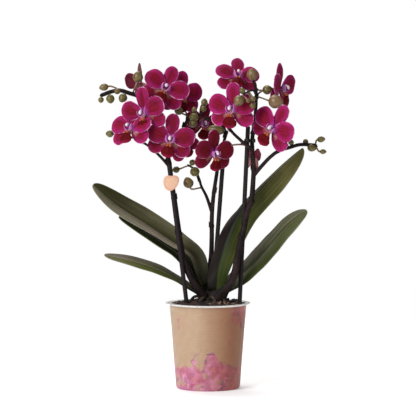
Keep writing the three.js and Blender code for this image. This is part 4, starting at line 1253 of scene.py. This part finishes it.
SPRAYS = {
    "left": {
        "stems": [
            ([(-2, -3, 97), (-10, -7, 105), (-16, -9, 114), (-21, -9, 124), (-25.5, -8.5, 135),
              (-28.5, -7.5, 150), (-32, -7, 174), (-35, -7, 196), (-38.5, -6.8, 219), (-41, -6, 238),
              (-45, -5, 258), (-52, -5, 281), (-61, -8, 299), (-72, -13, 309.5), (-82, -14, 313),
              (-92, -14, 316), (-101, -13, 315), (-112, -12, 311)], 3.4, 2.1),
            ([(-41, -6, 236), (-50, -8, 246), (-62, -10, 257), (-78, -12, 266), (-98, -14, 270)], 1.5, 1),
            ([(-43, -6, 250), (-36, 4, 260), (-28, 8, 270), (-24.5, 4, 280), (-19, -2, 287), (-12, -5, 289),
              (-6, -6, 292), (-4, -6, 299)], 2.3, 1.3),
        ],
        "buds": [
            (-109.5, -16, 319.5, 7.6,
             {"stretch": 1.35, "start": (-90, -14, 317), "way": (-0.95, -0.1, -0.2)}),
            (-112.5, -15, 306, 6), (-102.5, -17, 307, 9), (-89.5, -18, 308, 9.2, {"start": (-84, -14, 313)}),
            (-95.5, -16, 315, 6.5), (-73.5, -20, 330.5, 11), (-31.2, -8, 294.8, 9), (-103.5, -14, 270.5, 7.6),
            (-3.8, -7, 303.8, 7.2), (-5, -11, 297, 6.6), (-14.5, -10, 296, 5.8), (-15, -13, 288, 9.6),
            (-15.5, -12, 281.5, 8.6),
        ],
    },
    "middle": {
        "stems": [
            ([(0, 4, 100), (1, 12, 110), (2, 19, 124), (3.5, 21, 140), (4, 20, 158), (4.2, 17, 183),
              (6, 14, 205), (8.6, 10, 223), (11, 5, 238), (14.5, 1, 252), (18, -2, 266), (20, -4, 272)],
             3.0, 1.6),
            ([(17, -2, 266), (18, -2, 274), (13, -3, 280), (5, -5, 283.5), (-3, -6, 288)], 1.5, 1.2),
            ([(4, 16.5, 187), (-2, 12, 204), (-7, 8, 214), (-9.4, 5, 222), (-13.5, 3, 231.7),
              (-18.5, 2, 235.5)], 1.7, 1.1),
        ],
        "buds": [
            (8.6, -12, 274.8, 10.6, {"stretch": 1.75, "way": (-0.97, -0.1, 0.2)}),
            (-21, 0, 218.5, 11, {"start": (-6.5, 8.2, 210), "way": (-0.35, -0.1, 0.93)}),
            (-14, -4, 230, 10.2), (-16.5, -2, 240, 6.5), (-34, 4, 232, 7.2),
        ],
    },
    "right": {
        "stems": [
            ([(4, -5, 98), (16, -10, 103), (24, -13, 111.5), (27.5, -13.5, 121), (29.8, -13, 132),
              (33.5, -13, 152), (38, -12, 171), (41.5, -9, 188), (45.8, -5, 200), (47.8, -3, 221),
              (48.3, -2, 232), (47.3, -3, 248), (46.7, -4, 262), (48, -6, 276), (49.7, -8, 290),
              (50.7, -11, 304), (50.3, -14, 318), (47.5, -16, 327)], 4.0, 1.5),
            ([(48, -2, 226), (57, -4, 236.5), (66, -6, 246), (75, -8, 252.5), (86, -10, 256),
              (97, -10, 259), (112, -10, 258.5)], 1.9, 1.9),
            ([(47, -4, 251), (46, -10, 254), (41, -13, 258), (33, -13, 265), (24, -13, 274),
              (19, -13, 283)], 1.9, 1.4),
            ([(50.4, -13, 312), (47.5, -25, 316), (43, -37, 316), (37, -43, 312)], 1.1, 0.8),
        ],
        "buds": [
            (46.3, -19, 333, 12, {"flush": 0.6}), (62.8, -12, 316.8, 10),
            (71.3, -24, 304.4, 14.8, {"flush": 0.7}), (35.5, -43, 316, 6.5), (32, -45, 305.5, 11),
            (47, -42, 307.5, 5.5, {"start": (43, -37, 316)}),
            (46.5, -42, 300.5, 6.2, {"start": (43, -37, 316)}),
            (41.5, -46, 305.5, 4.5), (46.5, -12, 281, 4.5), (87.5, -9, 261.5, 6), (103, -7, 262, 6),
            (109.5, -12, 255.5, 7.8, {"stretch": 1.3, "way": (0.95, -0.2, -0.15)}),
            (119.5, -7, 264.5, 6.6, {"stretch": 1.35, "way": (0.97, -0.1, 0.1)}),
            (121.5, -9, 251.5, 5.4, {"stretch": 1.35, "way": (0.97, -0.1, 0)}),
        ],
    },
}
STALK_RADIUS = 0.95
STALK_DROP = 6
BUD_STALK_RADIUS = 0.85
BUD_STRETCH = 1.14
STALK_SWELL = 0.35
BUD_STALK_SWELL = 0.25
JOINT_SPACING = 38
JOINT_LENGTH = 1.6
JOINT_SWELL = 0.16
LAST_JOINT = 0.93
FLARE_LENGTH = 14
RING_SPACING = 2.6
BRACT_WRAP = math.radians(95)
BRACT_THICKNESS = (0.45, 0.2)
BRACT_LENGTH = 6.5
SMALL_BRACT = 3.2
BUD_SIDES = 30
SEAM_DEPTH = 0.085
FLARES = {"left": 0.25, "middle": 0.2, "right": 0.5}
TWIG_FLARE = 0.25
SPIKE_SKIN, STALK_SKIN, BUD_SKIN = 0, 1, 2


def nearest_spot(lines, target):
    """The nearest of sixty spots on the stems: the line and the share of its length."""
    spots = [(line, share) for line in lines for share in shares(60)[4:]]
    return min(spots, key=lambda spot: (spot[0].at(spot[1]) - target).length)


def add_bract(skin, line, share, radius, turn, length):
    """The small scale that hugs a stem at a joint or under a stalk, its tip standing off a little."""
    at, along = line.at(share), line.along(share)
    one = Matrix.Rotation(turn, 4, along) @ along.orthogonal().normalized()
    two = along.cross(one)
    rows = []
    for t in shares(7):
        wrap = BRACT_WRAP * (1 - t**1.6) + 0.05
        stand = radius + 0.05 + 0.35 * t**2
        p = at + along * (length * (t - 0.15))
        row = []
        for v in widths(8):
            out = one * math.cos(v * wrap) + two * math.sin(v * wrap)
            row.append((p + out * (stand + lerp(*BRACT_THICKNESS, t)), p + out * stand, (0.2 * t, 0, 0)))
        rows.append(row)
    skin.blade(rows, (0.3, 0, 0), SPIKE_SKIN)


def add_stem(skin, line, root, end, sides, flare, number):
    """A tapering stem, thick at its foot, with a ring and a bract at each joint."""
    joints = [i * JOINT_SPACING / line.length for i in range(1, int(line.length / JOINT_SPACING) + 1)]
    joints = [joint for joint in joints if joint < LAST_JOINT]

    def radius(share):
        r = lerp(root, end, share) * (1 + flare * math.exp(-share * line.length / FLARE_LENGTH))
        swell = sum(math.exp(-((share - joint) * line.length / JOINT_LENGTH) ** 2) for joint in joints)
        return r * (1 + JOINT_SWELL * swell + 0.03 * ripple((share * line.length, number * 9, 0), 9))

    skin.tube(line, radius, sides, int(line.length / RING_SPACING), finish=SPIKE_SKIN)
    tip, along = line.at(1), line.along(1)
    knob = Line([tip - along * 1.0, tip + along * 0.6, tip + along * 2.0])
    skin.tube(knob, lambda share: end * math.sqrt(max(0.02, 1 - share**2)), sides, 7, finish=SPIKE_SKIN)
    for i, joint in enumerate(joints):
        add_bract(skin, line, joint, radius(joint), i * 2.6 + number, BRACT_LENGTH)


def add_stalk(skin, start_spot, to, arrive, radius, blush, swell):
    """A stalk that leaves its stem along the stem's own way, arrives along arrive and swells there."""
    line, share = start_spot
    a, along = line.at(share), line.along(share)
    span = (to - a).length
    curve = Arc(a, a + along * (span * 0.3), to - arrive * (span * 0.35), to)

    def thickness(s):
        return radius * (1 + 0.35 * math.exp(-s * curve.length / 1.5) + swell * ease(0.55, 1.0, s))

    skin.tube(curve, thickness, 12, max(8, int(curve.length / 1.3)), (blush, 0, 0), STALK_SKIN)
    if curve.length > 5:
        add_bract(skin, curve, 0.12, radius * 1.15, blush * 6, SMALL_BRACT)


def add_bud(skin, centre, way, diameter, bud, draw):
    """A bud: an egg of three shut sepals with a low seam between them, blunt at its foot."""
    one = Matrix.Rotation(draw.uniform(0, 6.28), 4, way) @ way.orthogonal().normalized()
    two = way.cross(one)
    rows = []
    for t in shares(18):
        belly = math.sin(math.pi * t ** 0.86) ** 0.62 if 0 < t < 1 else 0.0
        middle = centre + way * (diameter * bud["stretch"] * (t - 0.5))
        row = []
        for i, angle in enumerate(turns(BUD_SIDES)):
            bent = angle + 0.5 * t
            third = abs(((bent * 3 / (2 * math.pi)) % 1) - 0.5) * 2
            seam = ease(0.78, 1.0, third) * ease(0.15, 0.5, t)
            r = max(0.03, diameter / 2 * belly * (1 - SEAM_DEPTH * seam)) * (1 + 0.02 * math.cos(3 * bent))
            row.append((swung(middle, one, two, angle, r), (t, i / BUD_SIDES, seam)))
        rows.append(row)
    skin.rings(rows, (bud["flush"], 0, 0), BUD_SKIN)


def make_spray(side, flowers):
    spray = SPRAYS[side]
    draw = random.Random(side)
    skin = Skin()
    lines = [Line(points) for points, _, _ in spray["stems"]]
    for number, (line, (_, root, end)) in enumerate(zip(lines, spray["stems"])):
        main = number == 0
        add_stem(skin, line, root, end, 18 if main else 14, FLARES[side] if main else TWIG_FLARE, number)
    for flower in flowers:
        holder = flower_place(flower)
        to = holder @ Vector((0, HUB_BACK + 0.1, 0))
        arrive = (holder.to_3x3() @ Vector((0, -1, 0))).normalized()
        below = Vector((0, 0, -flower.get("drop", STALK_DROP)))
        start_spot = nearest_spot(lines, Vector(flower.get("start", to - arrive * 10 + below)))
        add_stalk(skin, start_spot, to, arrive, STALK_RADIUS, draw.choice([0.1, 0.5, 0.9]), STALK_SWELL)
    for x, y, z, diameter, *own in spray["buds"]:
        bud = {"stretch": BUD_STRETCH, "flush": draw.uniform(0.1, 0.5), **(own[0] if own else {})}
        centre = Vector((x, y, z))
        start_spot = nearest_spot(lines, Vector(bud.get("start", centre)))
        way = Vector(bud.get("way", centre - start_spot[0].at(start_spot[1]))).normalized()
        foot = centre - way * (diameter * bud["stretch"] * 0.44)
        blush = draw.choice([0.0, 0.3, 0.7])
        add_stalk(skin, start_spot, foot, way, BUD_STALK_RADIUS, blush, BUD_STALK_SWELL)
        add_bud(skin, centre, way, diameter, bud, draw)
    skin.piece("flower_spike_" + side, [spike_skin(), stalk_skin(), bud_skin()], "stem", "spray_" + side)


# The clips, each a flat oval band round a stake and the spike beside it, with two finger tabs

CLIPS = {
    "left": {"z": 221, "spike": (-38.8, -6.7), "bore": 2.9},
    "middle": {"z": 250, "spike": (14, 1.6), "bore": 2.4},
    "right": {"z": 263, "spike": (46.8, -4.1), "bore": 2.4},
}
CLIP_WALL = 1
CLIP_HEIGHT = 4
CLIP_SIDES = 48
BAR_SIDES = 16
TAB_THICKNESS = 0.7


def half_turned(sides):
    """Even angles round a circle, half a step on."""
    return [2 * math.pi * (i + 0.5) / sides for i in range(sides)]


def rounded_bar(angle):
    """A spot on the outline of the band's bar, a squared-off oval: how far out and how far up."""
    x, z = math.cos(angle), math.sin(angle)
    return math.copysign(abs(x) ** 0.5, x) * CLIP_WALL / 2, math.copysign(abs(z) ** 0.4, z) * CLIP_HEIGHT / 2


def make_clips():
    plastic = clip_plastic()
    for side, clip in CLIPS.items():
        stake = on_stake(side, clip["z"])
        spike = Vector((*clip["spike"], clip["z"]))
        way = (spike - stake).normalized()
        other = UP.cross(way)
        mid = clip["bore"] + CLIP_WALL / 2
        rows = []
        for angle in half_turned(CLIP_SIDES):
            centre = spike if math.cos(angle) > 0 else stake
            out = way * math.cos(angle) + other * math.sin(angle)
            rows.append([(centre + out * (mid + x) + UP * z, PLAIN)
                         for x, z in map(rounded_bar, half_turned(BAR_SIDES))])
        skin = Skin()
        skin.rings(rows, hoop=True)
        middle = (stake + spike) / 2 + other * -(mid + 0.3)
        for lean in (-1, 1):
            tab = Line([middle + way * (lean * reach) - other * rise
                        for reach, rise in ((0.4, 0), (0.9, 1.2), (1.8, 2.4))])
            rows = []
            for t in shares(6):
                half = CLIP_HEIGHT / 2 * math.sqrt(max(0.1, 1 - 0.8 * t**3))
                face = tab.along(t).cross(UP)
                rows.append([(*two_faces(tab.at(t) + UP * (half * v), face, TAB_THICKNESS), PLAIN)
                             for v in widths(6)])
            skin.blade(rows)
        skin.piece("spike_clip_" + side, [plastic], "clip", "clip_" + side)


# The tag: a bare heart-shaped leaf of card in front of the left stake

TAG_PLACE = Vector((-38.5, -17, 219))
TAG_HALF = 8.5
TAG_THICKNESS = 0.8
TAG_ROUND = 0.12
TAG_CURL = 0.008
# Its outline: four curves, each between the corner before and its own, with two points that bend it
TAG_OUTLINE = [
    [(-0.1, -1), (0.5, -0.9), (1, -0.1), (0.95, 0.5)],
    [(0.95, 0.5), (0.8, 1.05), (0.2, 0.95), (0, 0.85)],
    [(0, 0.85), (-0.5, 1.05), (-1, 0.8), (-1, 0.1)],
    [(-1, 0.1), (-0.95, -0.5), (-0.7, -1), (-0.1, -1)],
]


def make_tag():
    outline = []
    for corner in TAG_OUTLINE:
        outline += Arc(*(Vector((x, 0, z)) * TAG_HALF for x, z in corner), pieces=14).spots[:-1]
    back = [(share, 0) for share in (0.06, 0.3, 0.55, 0.8, 0.975)] + [(1, TAG_ROUND)]
    shells = back + [(share, TAG_THICKNESS - depth) for share, depth in reversed(back)]
    rows = []
    for share, depth in shells:
        # A slight curl, as card takes
        rows.append([(TAG_PLACE + p * share + Vector((0, TAG_CURL * (p.x * share) ** 2 - depth, 0)),
                      (0, 0, (1 - share) * TAG_HALF)) for p in outline])
    skin = Skin()
    skin.rings(rows)
    skin.piece("name_tag_bare", [tag_card()], "tag", "tag")


# The studio: a white floor, a white room that throws only a dim light, and soft lamps

ROOM_LIGHT = 0.32
FLOOR_GLOW = 0.2
FLOOR_RADIUS = 0.75
LAMPS = {
    # place, size and power in watts; the key stands to the left, above and in front
    "key": ((-1.5, -1.75, 1.15), 1.3, 58),
    "fill": ((1.6, -1.5, 0.5), 1.2, 4),
    "top": ((-0.3, 0.7, 1.9), 1.2, 25),
}
LAMP_AIM = Vector((0, 0, 0.2))
CAMERA_AIM = Vector((0, 0, 0.191))
# The camera stands a little above the flowers' middle and looks through a long lens
CAMERA_PLACE = Vector((0, -2.6, 0.335))
CAMERA_LENS = 212.6


def hang(name, thing, place=None, aim=None):
    """Puts a floor, lamp or camera into the scene, on its place and turned to look at its aim."""
    holder = bpy.data.objects.new(name, thing)
    if aim:
        holder.location = place
        holder.rotation_euler = (aim - Vector(place)).to_track_quat("-Z", "Y").to_euler()
    bpy.context.scene.collection.objects.link(holder)
    return holder


def make_camera():
    camera = bpy.data.cameras.new("camera")
    camera.sensor_fit = "HORIZONTAL"
    camera.sensor_width = 36
    camera.lens = CAMERA_LENS
    bpy.context.scene.camera = hang("camera", camera, CAMERA_PLACE, CAMERA_AIM)
    bpy.context.scene.view_settings.view_transform = "Standard"


def make_studio():
    floor = bpy.data.meshes.new("floor")
    corners = [(FLOOR_RADIUS * math.cos(a), FLOOR_RADIUS * math.sin(a), 0) for a in turns(96)]
    floor.from_pydata(corners, [], [list(range(len(corners)))])
    paper, _ = start("seamless_paper")
    shade(paper, "#fdfdfd", 0.9, Emission_Color="#ffffff", Emission_Strength=FLOOR_GLOW)
    floor.materials.append(paper)
    hang("floor", floor)
    world = bpy.data.worlds.new("white_room")
    bpy.context.scene.world = world
    world.use_nodes = True
    world.node_tree.nodes.clear()
    rays = add(world, "LightPath", out=None)
    seen = add(world, "Math", rays["Is Camera Ray"], rays["Is Transmission Ray"], operation="MAXIMUM")
    wall = add(world, "MapRange", seen, To_Min=ROOM_LIGHT, To_Max=1.0)
    room = add(world, "Background", "#ffffff", wall)
    add(world, "OutputWorld", room)
    for name, (place, size, power) in LAMPS.items():
        lamp = bpy.data.lights.new(name, "AREA")
        lamp.size = size
        lamp.energy = power
        hang(name, lamp, place, LAMP_AIM)


# The whole plant in its pot

BLOOM_FINISHES = [petal_front(), petal_back(), lip_front(), side_lobe(), callus()]
COLUMN_FINISH = column_wax()

make_camera()
make_studio()
make_cup()
make_grow_pot()
make_bark()
make_crown()
make_stakes()
make_clips()
make_tag()
for number, leaf in enumerate(LEAVES, 1):
    make_leaf(number, leaf)
flower_number = 0
for side, flowers in FLOWERS.items():
    make_spray(side, flowers)
    for flower in flowers:
        flower_number += 1
        make_flower(flower_number, flower)
